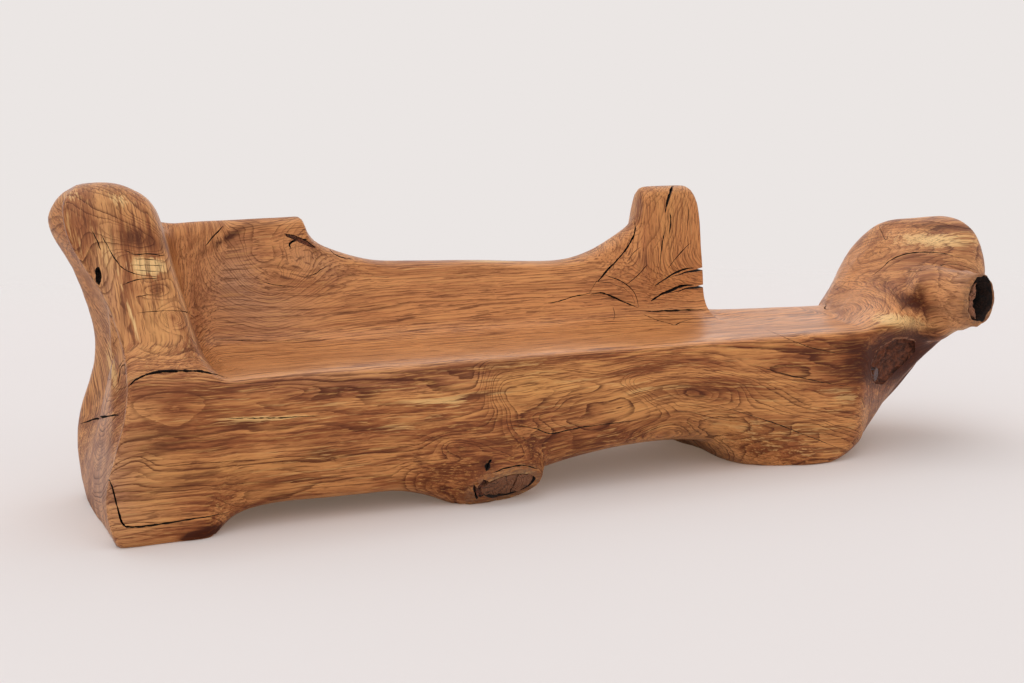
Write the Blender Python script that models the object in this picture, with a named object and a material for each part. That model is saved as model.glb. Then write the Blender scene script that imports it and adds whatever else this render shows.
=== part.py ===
"""Carved log bench: one hollowed trunk with its loose knots, bark and split pieces.

Left is the high arm, right is the low lobe with the sawn hollow branch, -Y is the front.
"""
import math

import bpy
import bmesh
import numpy as np
from mathutils import Matrix, Vector

# Driving sizes of the trunk, in metres
LENGTH = 2.965
DEPTH = 0.70
SEAT_HEIGHT = 0.41
ARM_RISE = 0.478
BACK_RISE = 0.346
POST_RISE = 0.42
LOBE_RISE = 0.318
ARM_WIDTH = 0.27
HIGH_BACK_LENGTH = 0.398
POST_WIDTH = 0.255
ARM_FLARE = 0.09
SOLE_DIP = 0.03

# Fits and cuts
CLEARANCE = 0.0004
OVERRUN = 0.05

# Sawn hollow branch at the right
STUB_RADIUS = 0.083
STUB_REACH = 0.30
STUB_WALL = 0.02
STUB_HOLLOW_DEPTH = 0.11
HEART_RECESS = 0.014

# Sawn dead branch under the front edge
KNOT_HALF_WIDTH = 0.105
KNOT_HALF_HEIGHT = 0.064
KNOT_REACH = 0.21
KNOT_RIM = 0.02
KNOT_PLUG_DEPTH = 0.045
KNOT_RECESS = 0.005
KNOT_SPLIT = 0.004

# Bark recess and small knot under the lobe
RECESS_HALF_LENGTH = 0.155
RECESS_HALF_HEIGHT = 0.085
RECESS_DEPTH = 0.045
BARK_THICKNESS = 0.018
SMALL_KNOT_RADIUS = 0.023
SMALL_KNOT_DEPTH = 0.03
SMALL_KNOT_PROUD = 0.003

# Notch, post and arm details
NOTCH_HALF_LENGTH = 0.05
NOTCH_HALF_HEIGHT = 0.012
NOTCH_DEPTH = 0.03
PATCH_HALF_LENGTH = 0.085
PATCH_HALF_HEIGHT = 0.03
PATCH_DEPTH = 0.035
SPLIT_LENGTH = 0.15
SPLIT_OPENING = 0.01
ARM_HOLE_HALF_HEIGHT = 0.024
ARM_HOLE_HALF_WIDTH = 0.008
ARM_HOLE_DEPTH = 0.03

# Weld distance, the small step that finds a tangent, and the zone place of the post's right edge
WELD = 0.00001
NUDGE_SHARE = 0.05
POST_RIGHT_SHARE = 4.0

# Counts
SPAN_STEPS = 2
OUTLINE_STEPS = 3
BRANCH_SIDES = 28
ROUND_SIDES = 24

# Where each feature sits, as a zone place and an outline point, with its turn in degrees
RECESS_AT_SHARES = (5.45, 2.85)
RECESS_TURN = 8.0
SMALL_KNOT_AT_SHARES = (5.3, 2.45)
NOTCH_AT_SHARES = (1.94, 11.05)
NOTCH_TURN = -25.0
PATCH_AT_SHARES = (2.9, 9.7)
PATCH_TURN = -12.0
ARM_HOLE_AT_SHARES = (0.42, 7.4)
# Zone places given to the rings of the arm and of the lobe, first and last
ARM_ZONE_SHARES = (0.1, 0.9)
LOBE_ZONE_SHARES = (5.0, 5.9)
LOBE_RING_COUNT = 7

# Middle of each sawn end, and its aim: a zone place, a share of the depth, and for the branch
# at the right a level, for the dead one its height over the floor in half heights of the knot
STUB_END_SHARES = (5.576, -0.10, 1.267)
STUB_AIM_SHARES = (0.27, -0.96, 0.0)
KNOT_END_SHARES = (2.349, -0.012, 0.8)
KNOT_AIM_SHARES = (0.08, -0.80, -0.60)
# Growth of a branch toward the trunk: share of its reach, and growth up, down, left and right
STUB_FLARE_SHARES = [
    (0, 0, 0, 0, 0), (0.17, 0.02, 0.12, 0.05, 0), (0.33, 0.06, 0.42, 0.3, 0.02),
    (0.5, 0.14, 0.9, 0.55, 0.05), (0.7, 0.15, 0.9, 0.1, 0.1), (1, 0, 0.2, -0.85, 0.15)]
KNOT_FLARE_SHARES = [
    (0, 0, 0, 0, 0), (0.08, 0.12, 0.06, 0.16, 0.12), (0.25, 0.55, 0.2, 0.6, 0.35),
    (0.5, 1.1, 0.35, 1.0, 0.7), (1, 1.2, 0.4, 1.2, 0.9)]
SPLIT_LEVEL_SHARES = (1.36, 1.22)
SPLIT_TURNS = (-7.0, -4.0)
PATCH_OUTLINE_SHARES = [
    (-1, -0.55), (-0.45, -0.65), (0.1, -0.75), (0.55, -0.85), (1, -1), (0.85, -0.1), (0.45, 0.6),
    (-0.1, 0.9), (-0.7, 1)]
HEART_BITE_SHARE = 0.62
HEART_OFFSET_SHARE = 0.62
BARK_POCKET_SHARES = (0.97, 0.2, 0.21, 0.75)
KNOT_SPLIT_SHARE = 0.24

# Colour, roughness and metallic value of each material
FINISHES = {
    "carved_wood": ((0.42, 0.19, 0.065), 0.42, 0.0),
    "dead_wood": ((0.20, 0.095, 0.05), 0.75, 0.0),
    "bark": ((0.05, 0.022, 0.014), 0.9, 0.0),
    "grey_knot": ((0.10, 0.085, 0.08), 0.7, 0.0),
}

# Where the post starts and how long the lobe is, as shares of the whole length
POST_START_SHARE = 0.6037
LOBE_LENGTH_SHARE = 0.2243
POST_FROM_LEFT = LENGTH * POST_START_SHARE
LOBE_LENGTH = LENGTH * LOBE_LENGTH_SHARE
# A place along the bench is a zone number and the share of that zone: 0 arm, 1 high back,
# 2 saddle, 3 post, 4 open seat, 5 lobe
SADDLE_LENGTH = POST_FROM_LEFT - ARM_WIDTH - HIGH_BACK_LENGTH
OPEN_SEAT_LENGTH = LENGTH - LOBE_LENGTH - POST_FROM_LEFT - POST_WIDTH
ZONES = (ARM_WIDTH, HIGH_BACK_LENGTH, SADDLE_LENGTH, POST_WIDTH, OPEN_SEAT_LENGTH, LOBE_LENGTH)
# A level from 0 to 1 is a share of the seat height,
# and one from 1 to 2 is the seat height and a share of the rise above it.
CREST_SHARES = [
    (1.0, 0.97), (1.93, 1.0), (1.99, 0.988), (2.004, 0.90), (2.03, 0.795), (2.07, 0.72),
    (2.2, 0.612), (2.57, 0.57), (2.71, 0.535), (2.80, 0.55), (2.87, 0.615), (2.93, 0.70)]
POST_CREST_SHARES = [
    (2.93, 0.605), (3.0, 0.69), (3.06, 0.755), (3.078, 0.85), (3.095, 0.93), (3.16, 0.975),
    (3.80, 0.975), (3.95, 0.96), (3.985, 0.91), (3.992, 0.45), (3.999, 0.09), (4.16, 0.02), (5.2, 0.01)]
BELLY_SHARES = [
    (0.80, 1.0), (0.97, 0.10), (1.10, -0.9), (1.28, -1.45), (2.1, -1.45), (2.3, -1.6), (2.44, -2.0),
    (2.52, -2.3), (2.64, -2.95), (2.8, -3.15), (2.96, -2.75), (3.10, -1.75), (3.38, -0.1),
    (3.6, 0.8), (4.6, 0.5), (5.0, -0.9)]
TUCK_SHARES = [
    (0.89, 0.085), (1.23, 0.14), (2.1, 0.115), (2.75, 0.17), (2.96, 0.214), (3.43, 0.20),
    (3.82, 0.10), (4.2, 0.03), (4.6, 0.035), (5.0, 0.08)]
ROOT_SHARES = [(0.96, 0.714), (2.47, 0.714), (3.82, 0.77), (4.05, 0.77), (4.6, 0.643), (5.15, 0.60)]
LEAN_SHARES = [(0.96, 0.143), (2.5, 0.13), (3.1, 0.07), (5.0, 0.07)]
CREST_THICKNESS_SHARES = [(1.0, 0.086), (2.5, 0.114), (3.4, 0.143), (4.0, 0.13), (4.2, 0.07)]
REAR_SHARES = [(0.9, 1.0), (3.4, 1.0), (4.0, 0.985), (4.6, 0.915), (5.2, 0.85)]
STATION_SHARES = [
    1.02, 1.15, 1.38, 1.65, 1.92, 1.99, 2.014, 2.046, 2.11, 2.20, 2.30, 2.41, 2.53, 2.67, 2.795,
    2.90, 2.985, 3.055, 3.09, 3.14, 3.28, 3.59, 3.84, 3.96, 3.988, 4.01, 4.2, 4.6]

# Each outline point is a weighted sum of the guides at its station: across, of the front edge,
# the tuck under it, the foot of the back, its lean, its thickness and the rear face; and
# upward, of the sole, the seat, the low back and the crest.
SECTION_DEPTH_SHARES = [
    (1, 1, 0, 0, 0, 0), (1, 0.3, 0, 0, 0, 0), (1, 0, 0, 0, 0, 0), (1, 0, 0, 0, 0, 0),
    (0.988, 0, 0.012, 0, 0, 0), (0.91, 0, 0.09, 0, 0, 0), (0.66, 0, 0.34, 0, 0, 0),
    (0.45, 0, 0.55, 0, 0, 0), (0.16, 0, 0.84, 0, 0, 0), (0, 0, 1, 0, 0, 0),
    (0, 0, 1, 0.35, 0, 0), (0, 0, 1, 0.8, 0, 0), (0, 0, 1, 1, 0.06, 0), (0, 0, 1, 1, 1, 0),
    (0.015, 0, 0, 0, 0, 0.985), (0, 0, 0, 0, 0, 1), (0.04, 0, 0, 0, 0, 0.96),
    (0.21, 0, 0, 0, 0, 0.79), (0.5, 0, 0, 0, 0, 0.5)]
SECTION_HEIGHT_SHARES = [
    (1, 0, 0, 0), (0.82, 0.18, 0, 0), (0.55, 0.45, 0, 0), (0.25, 0.75, 0, 0), (0.055, 0.945, 0, 0),
    (0, 1, 0, 0), (0.01, 0.99, 0, 0), (0.03, 0.97, 0, 0), (0.02, 0.96, 0.02, 0), (0, 0.82, 0.18, 0),
    (0, 0.42, 0.58, 0), (0, 0.14, 0, 0.86), (0, 0, 0, 1), (0, 0, 0, 1), (0.05, 0.5, 0.45, 0),
    (0.3, 0.7, 0, 0), (0.75, 0.25, 0, 0), (1, 0, 0, 0), (0.97, 0.03, 0, 0)]
# The low back follows the crest no higher than this share of the back's rise
LOW_BACK_SHARE = 0.62
# The swelling round the dead branch: its zone place, its half width there, and how far each
# of the first outline points is pushed forward and down, as shares of the knot's half height
SWELL_AT_SHARE = 2.29
SWELL_WIDTH_SHARE = 0.105
SWELL_FORWARD_SHARES = (0.45, 0.75, 0.35, 0.05)
SWELL_DOWN_SHARES = (1.55, 0.6, 0.05, 0.0)

# The arm's outline: share of the depth and level
ARM_OUTLINE_SHARES = [
    (0.02, -1.0), (0.004, 0.195), (0, 0.463), (0, 0.756), (0.011, 0.976), (0.079, 1.1),
    (0.164, 1.24), (0.264, 1.44), (0.374, 1.68), (0.479, 1.92), (0.586, 2.0), (0.707, 1.958),
    (0.829, 1.795), (0.921, 1.565), (0.964, 1.25), (0.971, 0.878), (0.943, 0.44), (0.771, -1.0),
    (0.4, -1.0)]
# How far the arm's end leans out to the left at each level, as a share of the flare
ARM_FLARE_SHARES = [
    (-1.0, 0.0), (0, -0.14), (0.134, -0.4), (0.278, -0.52), (0.4, -0.42), (0.55, -0.22), (0.715, 0.01),
    (0.93, 0.19), (1.09, 0.256), (1.27, 0.18), (1.44, -0.01), (1.554, -0.3), (1.66, -0.68),
    (1.76, -1.0), (1.84, -0.95), (1.9, -0.68), (1.98, -0.2), (2.03, 0.1)]
# How far the rear of the arm's end is drawn in, and how deep the end is dished, by level
ARM_REAR_SHARES = [(0, 0), (0.28, -0.25), (0.6, 0.24), (0.85, 0.32), (1.2, 0.12), (1.5, -0.06), (1.8, 0)]
ARM_DISH_SHARES = [(0.1, -0.2), (0.5, 0.05), (0.8, 0.28), (1.5, 0.28), (1.8, 0.0)]
# The arm's rings: share of its width, of the flare, of shrinking to the middle, of the rise
ARM_RING_SHARES = [
    (0.14, 1.0, 0.45, 1.0), (0.03, 1.0, 0.07, 1.0), (0.13, 1.0, 0, 1.0), (0.37, 0.7, 0, 1.0),
    (0.61, 0.5, 0, 0.95), (0.83, 0.2, 0, 0.82)]
ARM_MIDDLE_SHARES = (0.19, 0.49, 1.02)
CHAMFER_SHARE = 0.026
JOIN_LEVEL_SHARE = 1.735
# Outline points that the second ring draws back, and those of the last rings that meet the back
CHAMFER_POINTS = slice(5, 10)
JOIN_POINTS = slice(11, 14)
JOIN_RINGS = slice(-2, None)

# The lobe's crest and its right flank: share of its length, of the depth, and level
LOBE_CREST_SHARES = [
    (0.21, 0.286, 0.1), (0.285, 0.243, 0.27), (0.27, 0.186, 0.51), (0.24, 0.143, 0.756),
    (0.2, 0.03, 0.985), (0.26, 0.08, 1.09), (0.34, 0.16, 1.27), (0.451, 0.286, 1.50),
    (0.515, 0.414, 1.686), (0.56, 0.543, 1.85), (0.59, 0.63, 1.93), (0.585, 0.707, 1.88),
    (0.55, 0.78, 1.70), (0.515, 0.83, 1.41), (0.48, 0.85, 1.03), (0.406, 0.836, 0.732),
    (0.3, 0.757, 0.39), (0.226, 0.614, 0.08), (0.19, 0.43, 0.07)]
LOBE_FLANK_SHARES = [
    (0.375, 0.357, 0.24), (0.435, 0.343, 0.37), (0.53, 0.314, 0.55), (0.65, 0.257, 0.765),
    (0.73, 0.17, 0.976), (0.827, 0.17, 1.22), (0.902, 0.22, 1.472), (0.932, 0.286, 1.692),
    (0.947, 0.357, 1.865), (0.947, 0.443, 1.975), (0.932, 0.529, 2.0), (0.91, 0.614, 1.93),
    (0.872, 0.671, 1.692), (0.827, 0.7, 1.41), (0.767, 0.693, 1.094), (0.677, 0.657, 0.83),
    (0.54, 0.571, 0.512), (0.40, 0.471, 0.26), (0.35, 0.414, 0.2)]
LOBE_SKEW_SHARE = 0.41
LOBE_START_SHARE = -0.03
# Where the two rings between the seat and the crest stand: by outline point, and for all
LOBE_FOOT_SHARES = (
    0.3, 0.3, 0.3, 0.3, 0.25, 0.2, 0.15, 0.12, 0.11, 0.1, 0.1, 0.1, 0.1, 0.1, 0.15, 0.2, 0.3, 0.3, 0.3)
LOBE_MIDDLE_SHARE = 0.57
# How far the lobe's front bulges forward under and over the branch, by outline point
LOBE_BULGE_SHARES = (0, 0, 0, 0, 0.03, 0.06, 0.08, 0.07, 0.05, 0.03)
LOBE_END_SHARES = (1.0, 0.443, 1.47)
LOBE_ROUNDING_SHARE = 0.35


def along(place):
    """Distance from the left foot corner of a zone number and share."""
    edges = np.cumsum([0.0, *ZONES])
    return np.interp(place, range(len(edges)), edges)


def height(level, rise):
    """Height of a level: below the sole, up to the seat, or in the rise above it."""
    level = np.asarray(level, float)
    below = SOLE_DIP * np.minimum(level, 0)
    return below + SEAT_HEIGHT * np.clip(level, 0, 1) + rise * np.maximum(level - 1, 0)


def guide(table, place):
    """Value of a guide line, read between its rows."""
    places, shares = zip(*table)
    return np.interp(place, places, shares)


def bench_ring(place):
    """One section of the bench between the arm and the lobe."""
    front = 0.0
    root = DEPTH * guide(ROOT_SHARES, place)
    guides = [front, DEPTH * guide(TUCK_SHARES, place), root, DEPTH * guide(LEAN_SHARES, place),
              DEPTH * guide(CREST_THICKNESS_SHARES, place), DEPTH * guide(REAR_SHARES, place)]
    sole = -SOLE_DIP * guide(BELLY_SHARES, place)
    saddle = BACK_RISE * guide(CREST_SHARES, place)
    post = POST_RISE * guide(POST_CREST_SHARES, place)
    crest = SEAT_HEIGHT + (saddle if place < CREST_SHARES[-1][0] else post)
    low_back = min(crest, SEAT_HEIGHT + BACK_RISE * LOW_BACK_SHARE)
    across = np.array(SECTION_DEPTH_SHARES) @ np.array(guides)
    upward = np.array(SECTION_HEIGHT_SHARES) @ np.array([sole, SEAT_HEIGHT, low_back, crest])
    swell = KNOT_HALF_HEIGHT * np.exp(-((place - SWELL_AT_SHARE) / SWELL_WIDTH_SHARE)**2)
    swollen = len(SWELL_FORWARD_SHARES)
    across[:swollen] -= swell * np.array(SWELL_FORWARD_SHARES)
    upward[:swollen] -= swell * np.array(SWELL_DOWN_SHARES)
    return np.stack([np.full(len(across), along(place)), across, upward], axis=1)


def arm_ring(width_share, flare_share, shrink_share, rise_share):
    """One section through the arm, leaning out by the flare and drawn in to its middle."""
    outline = np.array(ARM_OUTLINE_SHARES)
    across = DEPTH * outline[:, 0]
    upward = height(outline[:, 1], ARM_RISE * rise_share)
    middle = (DEPTH * ARM_MIDDLE_SHARES[1], height(ARM_MIDDLE_SHARES[2], ARM_RISE))
    across = across + (middle[0] - across) * shrink_share
    upward = upward + (middle[1] - upward) * shrink_share
    levels = np.where(upward < 0, upward / SOLE_DIP, np.where(
        upward < SEAT_HEIGHT, upward / SEAT_HEIGHT, 1 + (upward - SEAT_HEIGHT) / ARM_RISE))
    rear = guide(ARM_REAR_SHARES, levels) * across / DEPTH
    lean = ARM_FLARE * flare_share * (guide(ARM_FLARE_SHARES, levels) + rear)
    dish = ARM_WIDTH * shrink_share * guide(ARM_DISH_SHARES, levels)
    return np.stack([ARM_WIDTH * width_share + lean + dish, across, upward], axis=1)


def lobe_ring(table):
    """One ring of the lobe from its table of shares."""
    rows = np.array(table)
    return np.stack([LENGTH - LOBE_LENGTH + LOBE_LENGTH * rows[:, 0], DEPTH * rows[:, 1],
                     height(rows[:, 2], LOBE_RISE)], axis=1)


def rings():
    """Every section of the trunk from the left end to the right, with a pole at both ends."""
    arm = [arm_ring(*shares) for shares in ARM_RING_SHARES]
    arm[1][CHAMFER_POINTS, 1] += DEPTH * CHAMFER_SHARE
    join = height(JOIN_LEVEL_SHARE, ARM_RISE)
    for ring in arm[JOIN_RINGS]:
        ring[JOIN_POINTS, 2] = np.maximum(ring[JOIN_POINTS, 2], join)
    count = len(ARM_OUTLINE_SHARES)
    left = np.array([ARM_WIDTH * ARM_MIDDLE_SHARES[0], DEPTH * ARM_MIDDLE_SHARES[1],
                     height(ARM_MIDDLE_SHARES[2], ARM_RISE)])
    bench = [bench_ring(place) for place in STATION_SHARES]
    start = bench_ring(5.0)
    start[:, 0] += LOBE_LENGTH * LOBE_START_SHARE + LOBE_SKEW_SHARE * start[:, 1]
    crest = lobe_ring(LOBE_CREST_SHARES)
    foot = start + (crest - start) * np.array(LOBE_FOOT_SHARES)[:, None]
    middle = start + (crest - start) * LOBE_MIDDLE_SHARE
    flank = lobe_ring(LOBE_FLANK_SHARES)
    right = lobe_ring([LOBE_END_SHARES])[0]
    last = flank + (right - flank) * LOBE_ROUNDING_SHARE
    last[:, 0] = (flank[:, 0] + right[0]) / 2
    face = (crest + flank) / 2
    face[:len(LOBE_BULGE_SHARES), 1] -= DEPTH * np.array(LOBE_BULGE_SHARES)
    lobe = [start, foot, middle, crest, face, flank, last]
    assert len(lobe) == LOBE_RING_COUNT
    return np.array([np.tile(left, (count, 1))] + arm + bench + lobe + [np.tile(right, (count, 1))])


def tightened(cage):
    """Cage moved out once, so that the smooth skin runs close to the sections themselves."""
    round_mean = (np.roll(cage, 1, 1) + 4 * cage + np.roll(cage, -1, 1)) / 6
    ends = np.concatenate([round_mean[:1], round_mean, round_mean[-1:]])
    mean = (ends[:-2] + 4 * ends[1:-1] + ends[2:]) / 6
    moved = 2 * cage - mean
    moved[0], moved[-1] = cage[0], cage[-1]
    return moved


def spline_weights(places, count, closed):
    """Cubic B-spline weight of each of count cage points at each place."""
    base = np.floor(places).astype(int)
    t = (places - base)[:, None]
    cubic = np.concatenate([(1 - t)**3, 3 * t**3 - 6 * t**2 + 4,
                            -3 * t**3 + 3 * t**2 + 3 * t + 1, t**3], axis=1) / 6
    index = base[:, None] + np.arange(-1, 3)
    index = index % count if closed else np.clip(index, 0, count - 1)
    weights = np.zeros((len(places), count))
    np.add.at(weights, (np.arange(len(places))[:, None], index), cubic)
    return weights


def skin(cage, ring_places, outline_places):
    """Grid of points of the smooth skin over the cage."""
    down = spline_weights(np.asarray(ring_places, float), cage.shape[0], False)
    round_ = spline_weights(np.asarray(outline_places, float), cage.shape[1], True)
    return np.einsum('ur,rmc,vm->uvc', down, cage, round_)


def finish(slot):
    """Principled material with one of the finishes above."""
    colour, roughness, metallic = FINISHES[slot]
    material = bpy.data.materials.new(slot)
    material.use_nodes = True
    shader = material.node_tree.nodes["Principled BSDF"]
    shader.inputs["Base Color"].default_value = (*colour, 1.0)
    shader.inputs["Roughness"].default_value = roughness
    shader.inputs["Metallic"].default_value = metallic
    return material


def place_object(name, mesh, collection):
    """New object for a mesh in one of the collections."""
    thing = bpy.data.objects.new(name, mesh)
    collection.objects.link(thing)
    return thing


def loft(name, grid, collection, first_pole, last_pole):
    """Closed loft over a grid of rings, each end closed by a fan to its middle."""
    bm = bmesh.new()
    middles = []
    rows = [[bm.verts.new(point) for point in ring] for ring in grid]
    for ring, pole in ((grid[0], first_pole), (grid[-1], last_pole)):
        middles.append(bm.verts.new(pole if pole is not None else ring.mean(axis=0)))
    sides = len(rows[0])
    for row, following in zip(rows, rows[1:]):
        for k in range(sides):
            after = (k + 1) % sides
            bm.faces.new((row[k], row[after], following[after], following[k]))
    for k in range(sides):
        after = (k + 1) % sides
        bm.faces.new((middles[0], rows[0][after], rows[0][k]))
        bm.faces.new((middles[1], rows[-1][k], rows[-1][after]))
    bmesh.ops.recalc_face_normals(bm, faces=bm.faces)
    mesh = bpy.data.meshes.new(name)
    bm.to_mesh(mesh)
    bm.free()
    return place_object(name, mesh, collection)


def boolean(target, tool, operation):
    """Join, cut or meet the target with a tool and keep the result as its mesh."""
    modifier = target.modifiers.new(operation.lower(), "BOOLEAN")
    modifier.operation = operation
    modifier.object = tool
    evaluated = target.evaluated_get(bpy.context.evaluated_depsgraph_get())
    mesh = bpy.data.meshes.new_from_object(evaluated)
    target.modifiers.remove(modifier)
    bm = bmesh.new()
    bm.from_mesh(mesh)
    bmesh.ops.remove_doubles(bm, verts=bm.verts, dist=WELD)
    bmesh.ops.dissolve_degenerate(bm, edges=bm.edges, dist=WELD)
    bmesh.ops.triangulate(bm, faces=bm.faces)
    bm.to_mesh(mesh)
    bm.free()
    target.data = mesh


def meet(name, first, second, collection):
    """Object for the volume that two others share."""
    piece = place_object(name, first.data.copy(), collection)
    boolean(piece, second, "INTERSECT")
    return piece


def round_tool(name, frame, half_width, half_height, near, far, collection):
    """Elliptical cylinder along a frame's third axis, from near to far."""
    bm = bmesh.new()
    bmesh.ops.create_cone(bm, cap_ends=True, segments=ROUND_SIDES, radius1=1.0, radius2=1.0, depth=1.0)
    mesh = bpy.data.meshes.new(name)
    size = Matrix.Diagonal((half_width, half_height, far - near, 1.0))
    middle = Matrix.Translation((0.0, 0.0, (near + far) / 2))
    bm.transform(frame @ middle @ size)
    bm.to_mesh(mesh)
    bm.free()
    return place_object(name, mesh, collection)


def oval_tool(name, frame, half_length, half_height, depth, out, collection):
    """Ellipsoid on a frame, moved out along its third axis."""
    bm = bmesh.new()
    bmesh.ops.create_uvsphere(bm, u_segments=ROUND_SIDES, v_segments=ROUND_SIDES // 2, radius=1.0)
    mesh = bpy.data.meshes.new(name)
    size = Matrix.Diagonal((half_length, half_height, depth, 1.0))
    bm.transform(frame @ Matrix.Translation((0.0, 0.0, out)) @ size)
    bm.to_mesh(mesh)
    bm.free()
    return place_object(name, mesh, collection)


def block_tool(name, frame, low, high, collection):
    """Box between two corners of a frame."""
    bm = bmesh.new()
    bmesh.ops.create_cube(bm, size=1.0)
    low, high = Vector(low), Vector(high)
    size = Matrix.Diagonal((*(high - low), 1.0))
    bm.transform(frame @ Matrix.Translation((low + high) / 2) @ size)
    mesh = bpy.data.meshes.new(name)
    bm.to_mesh(mesh)
    bm.free()
    return place_object(name, mesh, collection)


def outline_tool(name, frame, points, near, far, collection):
    """Flat outline extruded along a frame's third axis, from near to far."""
    curve = bpy.data.curves.new(name, "CURVE")
    curve.dimensions = "2D"
    curve.fill_mode = "BOTH"
    curve.extrude = (far - near) / 2
    spline = curve.splines.new("POLY")
    spline.points.add(len(points) - 1)
    for point, (across, upward) in zip(spline.points, points):
        point.co = (across, upward, 0.0, 1.0)
    spline.use_cyclic_u = True
    flat = place_object(name, curve, collection)
    evaluated = flat.evaluated_get(bpy.context.evaluated_depsgraph_get())
    mesh = bpy.data.meshes.new_from_object(evaluated)
    bpy.data.objects.remove(flat)
    bm = bmesh.new()
    bm.from_mesh(mesh)
    bmesh.ops.remove_doubles(bm, verts=bm.verts, dist=WELD)
    bmesh.ops.recalc_face_normals(bm, faces=bm.faces)
    bm.transform(frame @ Matrix.Translation((0.0, 0.0, (near + far) / 2)))
    bm.to_mesh(mesh)
    bm.free()
    return place_object(name, mesh, collection)


def axes_frame(origin, outward, side):
    """Frame with its third axis outward and its first as near to side as it goes."""
    third = Vector(outward).normalized()
    second = third.cross(Vector(side)).normalized()
    first = second.cross(third)
    frame = Matrix((first, second, third)).transposed().to_4x4()
    frame.translation = Vector(origin)
    return frame


def skin_frame(cage, place, turn):
    """Frame on the trunk's skin: first axis along the bench, turned in degrees, third outward."""
    marks = [0.0, *np.linspace(*ARM_ZONE_SHARES, len(ARM_RING_SHARES)), *STATION_SHARES,
             *np.linspace(*LOBE_ZONE_SHARES, LOBE_RING_COUNT), len(ZONES)]
    ring, point = np.interp(place[0], marks, range(len(marks))), place[1]
    patch = skin(cage, (ring - NUDGE_SHARE, ring + NUDGE_SHARE), (point - NUDGE_SHARE, point + NUDGE_SHARE))
    origin = skin(cage, (ring,), (point,))[0, 0]
    along_skin = Vector(patch[1].mean(axis=0) - patch[0].mean(axis=0))
    round_skin = Vector(patch[:, 1].mean(axis=0) - patch[:, 0].mean(axis=0))
    frame = axes_frame(origin, along_skin.cross(round_skin), along_skin)
    return frame @ Matrix.Rotation(math.radians(turn), 4, "Z")


def spot(shares, upward):
    """Point at a height, from a zone place and a share of the depth."""
    return Vector((along(shares[0]), DEPTH * shares[1], float(upward)))


def branch(name, frame, half_width, half_height, reach, flare, collection):
    """Sawn branch: rings from its sawn end back into the trunk, each grown by the flare table."""
    steps, up, down, left, right = np.array(flare).T
    shares = np.linspace(0, 1, 2 * len(flare) - 1)
    angle = np.linspace(0, 2 * math.pi, BRANCH_SIDES, endpoint=False)
    cosine, sine = np.cos(angle), np.sin(angle)
    growth = [1 + np.interp(shares, steps, side)[:, None] for side in (up, down, left, right)]
    across = half_width * cosine * np.where(cosine > 0, growth[3], growth[2])
    upward = half_height * sine * np.where(sine > 0, growth[0], growth[1])
    inward = np.broadcast_to(-reach * shares[:, None], across.shape)
    local = np.stack([across, upward, inward, np.ones_like(across)], axis=-1)
    grid = local @ np.array(frame.transposed())
    return loft(name, grid[..., :3], collection, None, None)


def trunk_blank(cage, collection, cutters, stub_frame, knot_frame):
    """Whole trunk with both sawn branches, cut flat where its feet stand."""
    span = 1 / SPAN_STEPS
    ring_places = np.arange(-1 + span, len(cage) - span / 2, span)
    outline_places = np.arange(0, cage.shape[1], 1 / OUTLINE_STEPS)
    grid = skin(cage, ring_places, outline_places)
    trunk = loft("carved_trunk", grid, collection, cage[0, 0], cage[-1, 0])
    stub = branch("stub_branch", stub_frame, STUB_RADIUS, STUB_RADIUS, STUB_REACH,
                  STUB_FLARE_SHARES, cutters)
    knot = branch("knot_branch", knot_frame, KNOT_HALF_WIDTH, KNOT_HALF_HEIGHT, KNOT_REACH,
                  KNOT_FLARE_SHARES, cutters)
    floor = block_tool("floor_cut", Matrix.Identity(4), (-LENGTH, -LENGTH, -LENGTH),
                       (2 * LENGTH, LENGTH, 0.0), cutters)
    boolean(trunk, stub, "UNION")
    boolean(trunk, knot, "UNION")
    boolean(trunk, floor, "DIFFERENCE")
    return trunk


def hollow_stub(trunk, frame, collection, cutters):
    """Hollow in the sawn branch and the loose heart left standing at its side."""
    radius = STUB_RADIUS - STUB_WALL
    hollow = round_tool("stub_hollow", frame, radius, radius, -STUB_HOLLOW_DEPTH, OVERRUN, cutters)
    boolean(trunk, hollow, "DIFFERENCE")
    inner = radius - CLEARANCE
    heart = round_tool("stub_heart", frame, inner, inner, -STUB_HOLLOW_DEPTH + CLEARANCE,
                       -HEART_RECESS, collection)
    bite_radius = radius / HEART_BITE_SHARE
    shift = Matrix.Translation((bite_radius * HEART_OFFSET_SHARE, 0.0, 0.0))
    bite = round_tool("heart_bite", frame @ shift, bite_radius, bite_radius,
                      -STUB_HOLLOW_DEPTH - OVERRUN, OVERRUN, cutters)
    boolean(heart, bite, "DIFFERENCE")
    return heart


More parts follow.
